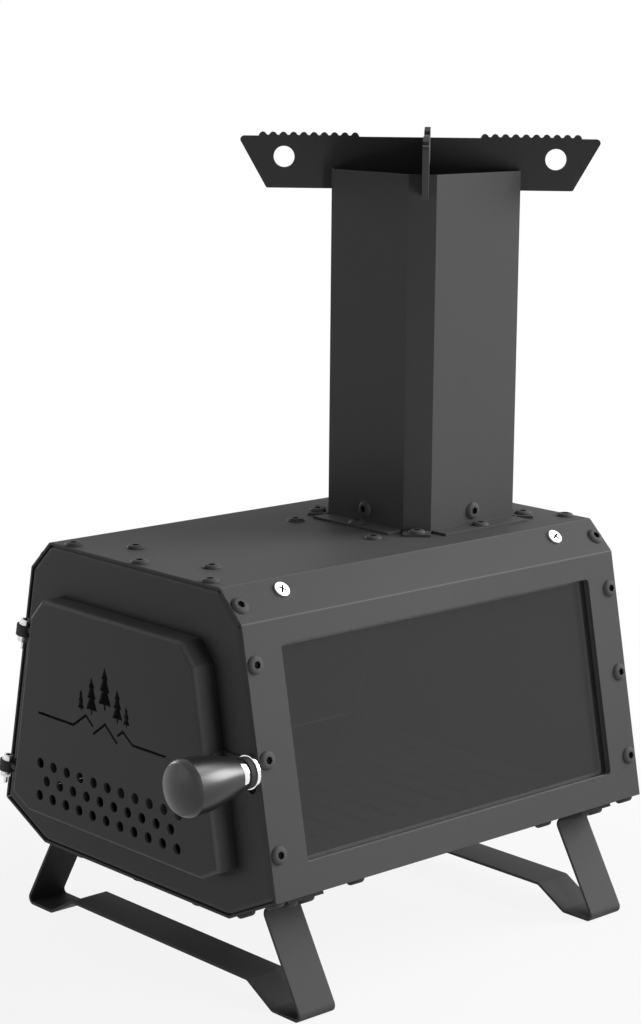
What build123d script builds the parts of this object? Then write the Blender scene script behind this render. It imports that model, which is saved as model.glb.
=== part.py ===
"""Outdoor rocket stove: an eight-sided steel firebox lying on two strap legs, with a door at
the front end, a window in the right side, a chimney near the rear end and two slotted cross
plates on the chimney that carry a pot.

Millimetres. X runs across the stove with the window on +X, Y runs from the door end (-Y)
to the rear, Z is up and the feet stand on z = 0. The origin lies on the ground under the
middle of the whole stove, knob and cross plates included."""

import os
from math import asin, atan2, cos, hypot, pi, radians, sin, sqrt, tan

from build123d import *

os.makedirs("parts", exist_ok=True)

# Firebox: outer corners of the right half of the section, and the sheet
body_length = 400.0
top_half = 103.5
top_z = 320.5
shoulder_half = 128.0
shoulder_z = 297.0
waist_half = 167.5
waist_z = 97.5
base_half = 115.0
base_z = 72.0
sheet = 2.0
bend_radius = 3.0
waist_seam = 0.4

# End panels: dished covers whose rims lie inside the shell
panel_depth = 16.0
panel_fold = 4.5
relief_radius = 2.4

# Screws with low domed heads, and the round nuts behind them
head_radius = 7.0
head_height = 2.6
head_lip = 0.6
head_flat = 3.6
crown_bulge = 0.15
socket_across = 4.8
socket_depth = 2.2
thread_radius = 3.0
hole_clearance = 0.25
nut_radius = 4.25
nut_height = 3.0
nut_clearance = 0.05
thread_tail = 1.0

# Screw rows: from the end of the body, and from the corners of the section
edge_distance = 8.0
side_row_upper = 30.0
side_row_lower = 34.4
chamfer_row = 18.0
top_row_inset = 20.5
base_row_inset = 43.0
waist_row = 11.5
base_row = 11.1

# Window in the right side
window_front_margin = 34.5
window_rear_margin = 32.0
window_top_margin = 19.0
window_low_margin = 23.4
window_radius = 3.0
glass_lap = 8.0
glass_thickness = 4.0
gasket_width = 7.0
gasket_thickness = 3.2
carrier_sheet = 2.0
carrier_lap = 10.0
carrier_window_lap = 5.0
carrier_flange = 20.0
carrier_screw_row = 11.5
carrier_screw_front = 17.5
carrier_screw_rear = 20.5
carrier_head_radius = 6.4
carrier_head_height = 2.2
carrier_head_round = 0.9
carrier_thread_radius = 2.0
cross_width = 1.3
cross_length = 6.4
cross_depth = 1.3

# Heat baffle under the top
baffle_half = 80.0
baffle_start = 22.0
baffle_rear_gap = 17.6
baffle_sheet = 2.0
baffle_drop = 12.0
baffle_spacer_radius = 6.0
baffle_screw_half = 46.0
baffle_screw_shift = 2.0
baffle_screw_inset = 16.8

# Loose fire grate on two rails
rail_sheet = 2.0
rail_start = 96.0
rail_rear_margin = 55.0
rail_row = 18.4
rail_ledge = 14.0
rail_foot = 18.0
rail_height = 14.0
rail_screw_front = 16.0
rail_screw_rear = 23.0
grate_thickness = 4.0
grate_length = 320.0
grate_clearance = 3.0
grate_seat_gap = 0.1
grate_slot_width = 7.0
grate_slot_length = 150.0
grate_slot_pitch = 28.0
grate_slot_count = 10

# Door: a dished pan in front of the front panel
door_x = -4.0
door_top_margin = 17.5
door_top_drop = 41.2
door_shoulder_margin = 26.7
door_shoulder_drop = 33.7
door_waist_margin = 38.5
door_waist_rise = 16.7
door_base_margin = 7.0
door_base_rise = 31.4
door_sheet = 2.0
door_depth = 18.4
door_gap = 0.6
door_fold = 4.0
door_lap = 14.0

# Air holes in the door, row by row from the top
air_hole_radius = 4.25
air_hole_pitch = 17.2
air_row_heights = [147.2, 133.9, 120.4]
air_row_middles = [-6.8, -7.4, -8.4]
air_row_counts = [11, 10, 11]

# Cut-out picture in the door: three ridge lines and a row of firs on the hill
emblem_z = 188.0
emblem_line = 2.2
ridge_lines = [
    [(-95.0, 0.0), (-49.0, 0.0), (-33.0, 11.0), (-24.0, 4.0)],
    [(-24.0, -2.0), (-9.0, 9.0), (6.0, -3.0)],
    [(6.0, 3.0), (13.0, 8.0), (25.0, 0.0), (67.5, 0.0)],
]
fir_places = [(-39.0, 13.0), (-25.5, 13.0), (-9.0, 20.0), (6.5, 13.0), (17.5, 12.0)]
fir_heights = [18.0, 30.0, 34.0, 27.0, 17.0]
fir_width_ratio = 0.46
fir_trunk_ratio = 0.14
bough_ratios = [(1.0, 0.12), (0.45, 0.42), (0.78, 0.42), (0.32, 0.70), (0.55, 0.70)]

# Hinges on the left of the door, each a height and its distance in from the left side
hinge_upper_z = 249.8
hinge_upper_inset = 18.0
hinge_lower_z = 133.0
hinge_lower_inset = 15.0
hinge_stand = 14.0
ear_radius = 6.25
ear_thickness = 4.2
ear_gap = 0.2
ear_arm_offset = 1.0
pin_radius = 2.0
pin_clearance = 0.08
pin_head_radius = 4.7
pin_head_height = 4.4
pin_socket_across = 3.0
pin_socket_depth = 2.4
pin_nut_across = 8.2
pin_nut_height = 5.4
pin_tail = 6.5

# Door knob and latch
knob_z = 191.3
knob_inset = 8.9
shaft_radius = 2.9
shaft_clearance = 0.08
knob_fit = 0.02
bracket_sheet = 1.5
bracket_stand = 0.6
bracket_half = 8.8
bracket_tab = 12.0
washer_gap = 0.1
washer_radius = 13.0
washer_thickness = 3.0
spacer_radius = 12.0
spacer_thickness = 5.2
collar_radius = 11.0
collar_thickness = 7.4
knob_length = 54.2
knob_neck_radius = 13.6
knob_neck_lean = 0.30
knob_radius = 21.6
knob_rim_lean = 0.02
knob_rim_length = 5.0
knob_rim_step = 2.75
knob_rim_bulge = 1.4
knob_crown = 4.5
knob_bore_depth = 30.0
tongue_stand = 1.0
tongue_thickness = 2.5
tongue_length = 16.0
slot_clearance = 1.4

# Strap legs
leg_width = 35.0
leg_thickness = 2.3
leg_margin = 22.3
foot_half = 169.2
foot_bend = 5.5
foot_inner_half = 137.6
bar_half = 108.8
bar_z = 16.2
strut_row = 13.9
leg_flange_length = 30.0
flange_bend = 6.0
toe_bend = 6.0
leg_slot_width = 0.6
leg_slot_length = 18.0
leg_screw_reach = 18.9
leg_screw_pitch = 16.5

# Chimney: its outside, its foot tabs and the sleeve inside it
chimney_x = 2.1
chimney_rear_margin = 97.15
chimney_width = 120.1
chimney_depth = 126.4
chimney_chamfer = 15.7
chimney_sheet = 2.0
chimney_height = 285.1
tab_width = 17.0
tab_thickness = 2.0
tab_screw_reach = 9.2
tab_relief_radius = 2.2
notch_depth = 16.3
flue_hole_clearance = 0.4
sleeve_sheet = 1.5
sleeve_below = 12.0
sleeve_above = 26.0
sleeve_screw_height = 12.5

# Cross plates that carry the pot
plate_thickness = 5.0
plate_clearance = 0.3
plate_rise = 25.4
plate_tip_half = 147.5
plate_bottom_half = 124.0
plate_tip_radius = 3.0
plate_bottom_radius = 2.0
plate_seat_gap = 0.05
plate_hole_radius = 8.6
plate_hole_half = 109.9
plate_hole_drop = 16.5
lower_plate_shift = 5.6
wave_end = 127.2
wave_pitch = 8.3
wave_count = 10
wave_crest = 3.3
wave_trough = 0.75
crest_share = 0.62
wave_ramp = 0.9

body_corners = [
    (top_half, top_z),
    (shoulder_half, shoulder_z),
    (waist_half, waist_z),
    (base_half, base_z),
]
door_corners = [
    (top_half - door_top_margin, top_z - door_top_drop),
    (shoulder_half - door_shoulder_margin, shoulder_z - door_shoulder_drop),
    (waist_half - door_waist_margin, waist_z + door_waist_rise),
    (base_half - door_base_margin, base_z + door_base_rise),
]
top_corner, shoulder, waist, base_corner = body_corners
side_length = hypot(waist_half - shoulder_half, shoulder_z - waist_z)
lower_length = hypot(waist_half - base_half, waist_z - base_z)
drill = 4 * sheet

# Heights up the chimney
chimney_top_z = top_z + chimney_height
plate_top_z = chimney_top_z + plate_rise
plate_bottom_z = chimney_top_z - notch_depth + plate_seat_gap

# The front edge of the firebox, so that the whole stove lies evenly round the origin
tip_angle = atan2(plate_top_z - plate_bottom_z, plate_tip_half - plate_bottom_half)
plate_reach = plate_tip_half - plate_tip_radius / tan(tip_angle / 2) + plate_tip_radius
chimney_place = body_length - chimney_rear_margin
rear_reach = chimney_place + (plate_reach + plate_thickness / 2) * cos(pi / 4)
knob_reach = (
    bracket_stand
    + bracket_sheet
    + washer_gap
    + washer_thickness
    + spacer_thickness
    + collar_thickness
    + knob_length
)
front = (knob_reach - rear_reach) / 2
rear = front + body_length
chimney_y = front + chimney_place
leg_fronts = [front + leg_margin, rear - leg_margin - leg_width]


def heading(a, b):
    """Unit direction from a to b."""
    reach = hypot(b[0] - a[0], b[1] - a[1])
    return (b[0] - a[0]) / reach, (b[1] - a[1]) / reach


def inward_line(a, b, depth):
    """The line through a and b moved to its right by depth: a point and a direction."""
    run, rise = heading(a, b)
    return (a[0] + rise * depth, a[1] - run * depth), (run, rise)


def crossing(first, second):
    """Where two lines meet."""
    (px, pz), (ux, uz) = first
    (qx, qz), (vx, vz) = second
    share = ((qx - px) * vz - (qz - pz) * vx) / (ux * vz - uz * vx)
    return px + share * ux, pz + share * uz


def half_ring(corners, depth):
    """Right-hand corners of an eight-sided section moved inwards by depth, from the top."""
    chain = [(0.0, corners[0][1]), *corners, (0.0, corners[-1][1])]
    lines = [inward_line(a, b, depth) for a, b in zip(chain, chain[1:])]
    return [crossing(a, b) for a, b in zip(lines, lines[1:])]


def ring(corners, depth):
    """All eight corners of the section, going round once."""
    right = half_ring(corners, depth)
    return right + mirrored(right)


def mirrored(points):
    """The points on the left that answer these on the right, in reverse order."""
    return [(-x, z) for x, z in reversed(points)]


def side_at(corners, z):
    """How far the long side of a section lies from its middle at a height."""
    (upper_half, upper_z), (lower_half, lower_z) = corners[1:3]
    return upper_half + (lower_half - upper_half) * (upper_z - z) / (upper_z - lower_z)


def along(a, b, distance, depth=0.0):
    """The point at a distance from a towards b, moved inwards by depth."""
    run, rise = heading(a, b)
    return a[0] + run * distance + rise * depth, a[1] + rise * distance - run * depth


def across(y):
    """Upright plane across the stove at y, with X to the right and Z up."""
    return Plane.XZ.offset(-y)


def face_spot(a, b, distance, y, side=1, depth=0.0):
    """Plane on the outer face from a to b, looking outwards, on the right or left side."""
    run, rise = heading(a, b)
    x, z = along(a, b, distance, depth)
    return Plane(origin=(side * x, y, z), x_dir=(0, 1, 0), z_dir=(-side * rise, 0, run))


def near(found, points):
    """The vertices that lie at the given points."""
    return [v for v in found for x, y in points if abs(v.X - x) + abs(v.Y - y) < 0.01]


def chimney_ring(inset):
    """Corners of the chimney's cut-cornered section, moved inwards, going round once."""
    half_x = chimney_width / 2 - inset
    half_y = chimney_depth / 2 - inset
    cut = chimney_chamfer - inset * (2 - sqrt(2))
    return [
        (half_x, half_y - cut),
        (half_x - cut, half_y),
        (cut - half_x, half_y),
        (-half_x, half_y - cut),
        (-half_x, cut - half_y),
        (cut - half_x, -half_y),
        (half_x - cut, -half_y),
        (half_x, cut - half_y),
    ]


def fir(x, z, height):
    """Outline of a fir tree standing on a point."""
    half = height * fir_width_ratio / 2
    right = [(fir_trunk_ratio, 0.0), (fir_trunk_ratio, bough_ratios[0][1]), *bough_ratios]
    shares = [*right, (0.0, 1.0), *mirrored(right)]
    return [(x + across_share * half, z + up_share * height) for across_share, up_share in shares]


front_row_y = front + edge_distance
rear_row_y = rear - edge_distance
row_ys = (front_row_y, rear_row_y)
side_row_low = side_length - side_row_lower
side_rows = (side_row_upper, (side_row_upper + side_row_low) / 2, side_row_low)
top_columns = (-(top_half - top_row_inset), 0.0, top_half - top_row_inset)
base_columns = (-(base_half - base_row_inset), 0.0, base_half - base_row_inset)
window_front_y = front + window_front_margin
window_rear_y = rear - window_rear_margin
baffle_start_y = front + baffle_start
baffle_end_y = chimney_y - chimney_depth / 2 - baffle_rear_gap
rail_start_y = front + rail_start
rail_end_y = rear - rail_rear_margin

# Screw places on the body, each a plane on the outer face that looks outwards
side_spots = {}
chamfer_spots = []
lower_spots = []
rail_spots = []
leg_spots = []
for side in (1, -1):
    side_spots[side] = [face_spot(shoulder, waist, row, y, side) for y in row_ys for row in side_rows]
    chamfer_spots += [face_spot(top_corner, shoulder, chamfer_row, y, side) for y in row_ys]
    lower_spots += [
        face_spot(waist, base_corner, row, y, side)
        for y in row_ys
        for row in (waist_row, lower_length - base_row)
    ]
    rail_spots += [
        face_spot(waist, base_corner, lower_length - rail_row, y, side)
        for y in (rail_start_y + rail_screw_front, rail_end_y - rail_screw_rear)
    ]
    leg_row = lower_length - strut_row - leg_screw_reach
    leg_spots += [
        face_spot(waist, base_corner, leg_row, start + inset, side, -leg_thickness)
        for start in leg_fronts
        for inset in ((leg_width - leg_screw_pitch) / 2, (leg_width + leg_screw_pitch) / 2)
    ]
carrier_spots = [
    face_spot(top_corner, shoulder, carrier_screw_row, y)
    for y in (window_front_y + carrier_screw_front, window_rear_y - carrier_screw_rear)
]
top_spots = [Plane((x, y, top_z)) for y in row_ys for x in top_columns]
baffle_spots = [
    Plane((baffle_screw_shift + x, y, top_z))
    for y in (baffle_start_y + baffle_screw_inset, baffle_end_y - baffle_screw_inset)
    for x in (-baffle_screw_half, baffle_screw_half)
]
base_spots = [
    Plane(origin=(x, y, base_z), x_dir=(1, 0, 0), z_dir=(0, 0, -1)) for y in row_ys for x in base_columns
]
panel_spots = [*side_spots[1], *side_spots[-1], *chamfer_spots, *lower_spots, *top_spots, *base_spots]

# Screw places on the chimney: one on each foot tab, one on each broad face
outer_ring = chimney_ring(0.0)
ring_sides = list(zip(outer_ring, outer_ring[1:] + outer_ring[:1]))
tab_spots = []
sleeve_spots = []
for number, (a, b) in enumerate(ring_sides):
    run, rise = heading(a, b)
    x = chimney_x + (a[0] + b[0]) / 2
    y = chimney_y + (a[1] + b[1]) / 2
    tab_spots.append(Plane((x + rise * tab_screw_reach, y - run * tab_screw_reach, top_z + tab_thickness)))
    if number % 2 == 1:
        sleeve_spots.append(
            Plane(origin=(x, y, top_z + sleeve_screw_height), x_dir=(0, 0, 1), z_dir=(rise, -run, 0))
        )

# One screw and one nut of each kind, head on the plane and thread below it
stacks = {
    "panel": 2 * sheet,
    "rail": sheet + rail_sheet,
    "tab": tab_thickness + sheet,
    "leg": leg_thickness + sheet,
    "baffle": sheet + baffle_drop + baffle_sheet,
    "sleeve": chimney_sheet + sleeve_sheet,
}
screw_kinds = {}
nut_kinds = {}
for kind, stack in stacks.items():
    tail = stack + nut_height + thread_tail
    with BuildPart() as domed_screw:
        with BuildSketch(Plane.XZ):
            with BuildLine():
                Polyline(
                    (0, head_height),
                    (0, -tail),
                    (thread_radius, -tail),
                    (thread_radius, 0),
                    (head_radius, 0),
                    (head_radius, head_lip),
                )
                crown_x = (head_radius + head_flat) / 2 + crown_bulge * (head_height - head_lip)
                crown_z = (head_height + head_lip) / 2 + crown_bulge * (head_radius - head_flat)
                ThreePointArc((head_radius, head_lip), (crown_x, crown_z), (head_flat, head_height))
                Line((head_flat, head_height), (0, head_height))
            make_face()
        revolve(axis=Axis.Z)
        with BuildSketch(Plane.XY.offset(head_height)):
            RegularPolygon(socket_across / 2, 6, major_radius=False)
        extrude(amount=-socket_depth, mode=Mode.SUBTRACT)
    screw_kinds[kind] = domed_screw.part
    with BuildPart() as round_nut:
        with BuildSketch(Plane.XY.offset(-stack)):
            Circle(nut_radius)
            Circle(thread_radius + nut_clearance, mode=Mode.SUBTRACT)
        extrude(amount=-nut_height)
    nut_kinds[kind] = round_nut.part

# Flat-headed screws with a cross recess, for the window carrier
carrier_stack = sheet + carrier_sheet
with BuildPart() as flat_screw:
    with BuildSketch(Plane.XY):
        Circle(carrier_head_radius)
    extrude(amount=carrier_head_height)
    fillet(flat_screw.edges().sort_by(Axis.Z)[-1], radius=carrier_head_round)
    with BuildSketch(Plane.XY):
        Circle(carrier_thread_radius)
    extrude(amount=-(carrier_stack + nut_height + thread_tail))
    with BuildSketch(Plane.XY.offset(carrier_head_height)):
        Rectangle(cross_length, cross_width)
        Rectangle(cross_width, cross_length)
    extrude(amount=-cross_depth, mode=Mode.SUBTRACT)
with BuildPart() as flat_nut:
    with BuildSketch(Plane.XY.offset(-carrier_stack)):
        Circle(nut_radius)
        Circle(carrier_thread_radius + nut_clearance, mode=Mode.SUBTRACT)
    extrude(amount=-nut_height)

finished = []

# Body shell: the top, the upper chamfers and the sides, folded from one sheet
window_long = window_rear_y - window_front_y
window_high = side_length - window_top_margin - window_low_margin
window_plane = face_spot(
    shoulder, waist, window_top_margin + window_high / 2, (window_front_y + window_rear_y) / 2
)
shell_outer = mirrored(body_corners[:3]) + body_corners[:3]
shell_right = half_ring(body_corners, sheet)[:3]
shell_inner = mirrored(shell_right) + shell_right
with BuildPart() as body_shell:
    with BuildSketch(across(front)):
        with BuildLine():
            Polyline(*shell_outer, *reversed(shell_inner), close=True)
        make_face()
        fillet(near(vertices(), shell_outer[1:-1]), radius=bend_radius)
        fillet(near(vertices(), shell_inner[1:-1]), radius=bend_radius - sheet)
    extrude(amount=-body_length)
    with BuildSketch(window_plane):
        RectangleRounded(window_long, window_high, window_radius)
    extrude(amount=drill, both=True, mode=Mode.SUBTRACT)
    with BuildSketch(Plane((chimney_x, chimney_y, top_z))):
        Polygon(*chimney_ring(chimney_sheet - flue_hole_clearance), align=None)
    extrude(amount=drill, both=True, mode=Mode.SUBTRACT)
    with Locations(*side_spots[1], *side_spots[-1], *chamfer_spots, *top_spots):
        Hole(thread_radius + hole_clearance, depth=drill)
    with Locations(*baffle_spots, *tab_spots):
        Hole(thread_radius + hole_clearance, depth=drill)
    with Locations(*carrier_spots):
        Hole(carrier_thread_radius + hole_clearance, depth=drill)
body_shell.part.label = "body_shell"
finished.append(body_shell.part)

# Base pan: the lower chamfers and the bottom, folded from one sheet
pan_right = [along(waist, base_corner, waist_seam), base_corner]
pan_outer = pan_right + mirrored(pan_right)
inner_waist, inner_base = half_ring(body_corners, sheet)[2:]
pan_inner_right = [along(inner_waist, inner_base, waist_seam), inner_base]
pan_inner = pan_inner_right + mirrored(pan_inner_right)
with BuildPart() as base_pan:
    with BuildSketch(across(front)):
        with BuildLine():
            Polyline(*pan_outer, *reversed(pan_inner), close=True)
        make_face()
        fillet(near(vertices(), pan_outer[1:-1]), radius=bend_radius)
        fillet(near(vertices(), pan_inner[1:-1]), radius=bend_radius - sheet)
    extrude(amount=-body_length)
    with Locations(*lower_spots, *base_spots, *rail_spots, *leg_spots):
        Hole(thread_radius + hole_clearance, depth=drill)
base_pan.part.label = "base_pan"
finished.append(base_pan.part)

# End panels: each a dished cover with a rim on all eight sides and a notch at each corner
slot_radius = shaft_radius + slot_clearance
slot_reach = tongue_length - shaft_radius
knob_x = side_at(body_corners, knob_z) - knob_inset
opening_ring = [(door_x + x, z) for x, z in ring(door_corners, door_lap)]
with BuildPart() as front_panel:
    with BuildSketch(across(front)):
        Polygon(*ring(body_corners, sheet), align=None)
    extrude(amount=-panel_depth)
    fillet(front_panel.faces().sort_by(Axis.Y)[0].edges(), radius=panel_fold)
    with BuildSketch(across(front + sheet)):
        Polygon(*ring(body_corners, 2 * sheet), align=None)
    extrude(amount=-panel_depth, mode=Mode.SUBTRACT)
    with BuildSketch(across(front)):
        with Locations(*ring(body_corners, sheet)):
            Circle(relief_radius)
    extrude(amount=-panel_depth, mode=Mode.SUBTRACT)
    with BuildSketch(across(front)):
        Polygon(*opening_ring, align=None)
        with Locations((knob_x, knob_z), (knob_x, knob_z - slot_reach)):
            Circle(slot_radius)
        with Locations((knob_x, knob_z - slot_reach / 2)):
            Rectangle(2 * slot_radius, slot_reach)
    extrude(amount=drill, both=True, mode=Mode.SUBTRACT)
    with Locations(*panel_spots):
        Hole(thread_radius + hole_clearance, depth=drill)
front_panel.part.label = "front_panel"
finished.append(front_panel.part)

with BuildPart() as rear_panel:
    with BuildSketch(across(rear)):
        Polygon(*ring(body_corners, sheet), align=None)
    extrude(amount=panel_depth)
    fillet(rear_panel.faces().sort_by(Axis.Y)[-1].edges(), radius=panel_fold)
    with BuildSketch(across(rear - sheet)):
        Polygon(*ring(body_corners, 2 * sheet), align=None)
    extrude(amount=panel_depth, mode=Mode.SUBTRACT)
    with BuildSketch(across(rear)):
        with Locations(*ring(body_corners, sheet)):
            Circle(relief_radius)
    extrude(amount=panel_depth, mode=Mode.SUBTRACT)
    with Locations(*panel_spots):
        Hole(thread_radius + hole_clearance, depth=drill)
rear_panel.part.label = "rear_panel"
finished.append(rear_panel.part)

# Window: a flat gasket, the glass behind it and a folded carrier that holds the glass
with BuildPart() as window_gasket:
    with BuildSketch(window_plane.offset(-sheet)):
        Rectangle(window_long + 2 * gasket_width, window_high + 2 * gasket_width)
        RectangleRounded(window_long, window_high, window_radius, mode=Mode.SUBTRACT)
    extrude(amount=-gasket_thickness)
window_gasket.part.label = "window_gasket"
finished.append(window_gasket.part)

glass_depth = sheet + gasket_thickness
with BuildPart() as window_glass:
    with BuildSketch(window_plane.offset(-glass_depth)):
        RectangleRounded(window_long + 2 * glass_lap, window_high + 2 * glass_lap, window_radius)
    extrude(amount=-glass_thickness)
window_glass.part.label = "window_glass"
finished.append(window_glass.part)

carrier_depth = glass_depth + glass_thickness


def carrier_face(extra):
    """Corners of the carrier's section, on its outer side or, with the sheet, its inner."""
    low = along(shoulder, waist, window_top_margin + window_high + carrier_lap, carrier_depth + extra)
    bend = crossing(
        inward_line(shoulder, waist, carrier_depth + extra),
        inward_line(top_corner, shoulder, sheet + extra),
    )
    run, rise = heading(top_corner, shoulder)
    return [low, bend, (bend[0] - run * carrier_flange, bend[1] - rise * carrier_flange)]


with BuildPart() as window_carrier:
    with BuildSketch(across(window_front_y - carrier_lap)):
        with BuildLine():
            Polyline(*carrier_face(0.0), *reversed(carrier_face(carrier_sheet)), close=True)
        make_face()
    extrude(amount=-(window_long + 2 * carrier_lap))
    with BuildSketch(window_plane.offset(-carrier_depth)):
        RectangleRounded(window_long - carrier_window_lap, window_high - carrier_window_lap, window_radius)
    extrude(amount=-drill, mode=Mode.SUBTRACT)
    with Locations(*carrier_spots):
        Hole(carrier_thread_radius + hole_clearance, depth=drill)
window_carrier.part.label = "window_carrier"
finished.append(window_carrier.part)

# Heat baffle, hung under the top on four spacers
baffle_z = top_z - sheet - baffle_drop
with BuildPart() as heat_baffle:
    with BuildSketch(Plane((0, (baffle_start_y + baffle_end_y) / 2, baffle_z))):
        Rectangle(2 * baffle_half, baffle_end_y - baffle_start_y)
    extrude(amount=-baffle_sheet)
    with Locations(*baffle_spots):
        Hole(thread_radius + hole_clearance, depth=stacks["baffle"] + sheet)
heat_baffle.part.label = "heat_baffle"
finished.append(heat_baffle.part)

with BuildPart() as baffle_spacers:
    for spot in baffle_spots:
        with BuildSketch(spot.offset(-sheet)):
            Circle(baffle_spacer_radius)
            Circle(thread_radius + hole_clearance, mode=Mode.SUBTRACT)
        extrude(amount=-baffle_drop)
baffle_spacers.part.label = "baffle_spacers"
finished.append(baffle_spacers.part)

# Grate rails: folded strips on the inner faces of the lower chamfers
rail_middle = lower_length - rail_row
rail_low = along(waist, base_corner, rail_middle - rail_foot / 2, sheet)
rail_bend_x, rail_bend_z = along(waist, base_corner, rail_middle + rail_foot / 2, sheet)
rail_face = [
    rail_low,
    (rail_bend_x, rail_bend_z),
    (rail_bend_x, rail_bend_z + rail_height),
    (rail_bend_x - rail_ledge, rail_bend_z + rail_height),
]
rail_top_z = rail_bend_z + rail_height + rail_sheet
rail_back_x = rail_bend_x + rail_sheet
rail_back = [
    along(waist, base_corner, rail_middle - rail_foot / 2, sheet + rail_sheet),
    crossing(inward_line(waist, base_corner, sheet + rail_sheet), ((rail_back_x, 0.0), (0.0, 1.0))),
    (rail_back_x, rail_top_z),
    (rail_bend_x - rail_ledge, rail_top_z),
]
for name, side in (("grate_rail_right", 1), ("grate_rail_left", -1)):
    with BuildPart() as grate_rail:
        with BuildSketch(across(rail_start_y)):
            with BuildLine():
                Polyline(*[(side * x, z) for x, z in rail_face + rail_back[::-1]], close=True)
            make_face()
        extrude(amount=-(rail_end_y - rail_start_y))
        with Locations(*rail_spots):
            Hole(thread_radius + hole_clearance, depth=drill)
    grate_rail.part.label = name
    finished.append(grate_rail.part)

# Fire grate, lying loose on the rails
grate_half = rail_bend_x - grate_clearance
with BuildPart() as fire_grate:
    with BuildSketch(Plane((0, (rail_start_y + rail_end_y) / 2, rail_top_z + grate_seat_gap))):
        RectangleRounded(2 * grate_half, grate_length, 2 * grate_clearance)
        with GridLocations(0, grate_slot_pitch, 1, grate_slot_count):
            SlotOverall(grate_slot_length, grate_slot_width, mode=Mode.SUBTRACT)
    extrude(amount=grate_thickness)
fire_grate.part.label = "fire_grate"
finished.append(fire_grate.part)

# Door pan, with air holes and a cut-out picture of hills and firs
door_front = front - door_gap - door_depth
with BuildPart() as door_pan:
    with BuildSketch(across(door_front)):
        Polygon(*[(door_x + x, z) for x, z in ring(door_corners, 0.0)], align=None)
    extrude(amount=-door_depth)
    fillet(door_pan.faces().sort_by(Axis.Y)[0].edges(), radius=door_fold)
    with BuildSketch(across(door_front + door_sheet)):
        Polygon(*[(door_x + x, z) for x, z in ring(door_corners, door_sheet)], align=None)
    extrude(amount=-door_depth, mode=Mode.SUBTRACT)
    with BuildSketch(across(door_front)):
        for z, middle, count in zip(air_row_heights, air_row_middles, air_row_counts):
            with Locations((middle, z)):
                with GridLocations(air_hole_pitch, 0, count, 1):
                    Circle(air_hole_radius)
        for ridge in ridge_lines:
            with BuildLine():
                Polyline(*[(x, emblem_z + z) for x, z in ridge])
            trace(line_width=emblem_line)
        for (x, z), height in zip(fir_places, fir_heights):
            Polygon(*fir(x, emblem_z + z, height), align=None)
    extrude(amount=-2 * door_sheet, mode=Mode.SUBTRACT)
door_pan.part.label = "door_pan"
finished.append(door_pan.part)

# Hinges: the door's ear lies on the body's ear, with a pin through both
hinge_upper = (hinge_upper_inset - side_at(body_corners, hinge_upper_z), hinge_upper_z)
hinge_lower = (hinge_lower_inset - side_at(body_corners, hinge_lower_z), hinge_lower_z)
hinge_run, hinge_rise = heading(hinge_lower, hinge_upper)
hinge_y = front - hinge_stand
wall_run, wall_rise = heading(door_corners[1], door_corners[2])
door_left_wall = Plane(
    origin=(door_x - door_corners[1][0], door_front, door_corners[1][1]),
    x_dir=(0, 1, 0),
    z_dir=(wall_rise, 0, wall_run),
)
hinge_planes = []
for name, (x, z) in (("upper", hinge_upper), ("lower", hinge_lower)):
    hinge_plane = Plane(
        origin=(x, hinge_y, z), x_dir=(hinge_rise, 0, -hinge_run), z_dir=(hinge_run, 0, hinge_rise)
    )
    hinge_planes.append(hinge_plane)
    with BuildPart() as body_ear:
        with BuildSketch(hinge_plane.offset(-ear_gap / 2)):
            Circle(ear_radius)
            with Locations((0, hinge_stand / 2)):
                Rectangle(2 * ear_radius, hinge_stand)
            Circle(pin_radius + pin_clearance, mode=Mode.SUBTRACT)
        extrude(amount=-ear_thickness)
    body_ear.part.label = "body_ear_" + name
    finished.append(body_ear.part)
    arm_reach = door_x - side_at(door_corners, z) - x + ear_radius
    with BuildPart() as door_ear:
        with BuildSketch(hinge_plane.offset(ear_gap / 2)):
            Circle(ear_radius)
            with Locations((arm_reach / 2, (ear_radius - ear_arm_offset) / 2)):
                Rectangle(arm_reach, ear_radius + ear_arm_offset)
            Circle(pin_radius + pin_clearance, mode=Mode.SUBTRACT)
        extrude(amount=ear_thickness)
        split(bisect_by=door_left_wall, keep=Keep.TOP)
    door_ear.part.label = "door_ear_" + name
    finished.append(door_ear.part)

pin_below = ear_thickness + ear_gap + pin_nut_height + pin_tail
pin_above = ear_thickness + ear_gap
with BuildPart() as hinge_pins:
    for hinge_plane in hinge_planes:
        with BuildSketch(hinge_plane.offset(-pin_below)):
            Circle(pin_radius)
        extrude(amount=pin_below + pin_above)
        with BuildSketch(hinge_plane.offset(pin_above)):
            Circle(pin_head_radius)
        extrude(amount=pin_head_height)
        with BuildSketch(hinge_plane.offset(pin_above + pin_head_height)):
            RegularPolygon(pin_socket_across / 2, 6, major_radius=False)
        extrude(amount=-pin_socket_depth, mode=Mode.SUBTRACT)
hinge_pins.part.label = "hinge_pins"
finished.append(hinge_pins.part)

with BuildPart() as hinge_nuts:
    for hinge_plane in hinge_planes:
        with BuildSketch(hinge_plane.offset(-ear_thickness - ear_gap / 2)):
            RegularPolygon(pin_nut_across / 2, 6, major_radius=False)
            Circle(pin_radius + knob_fit, mode=Mode.SUBTRACT)
        extrude(amount=-pin_nut_height)
hinge_nuts.part.label = "hinge_nuts"
finished.append(hinge_nuts.part)

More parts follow.
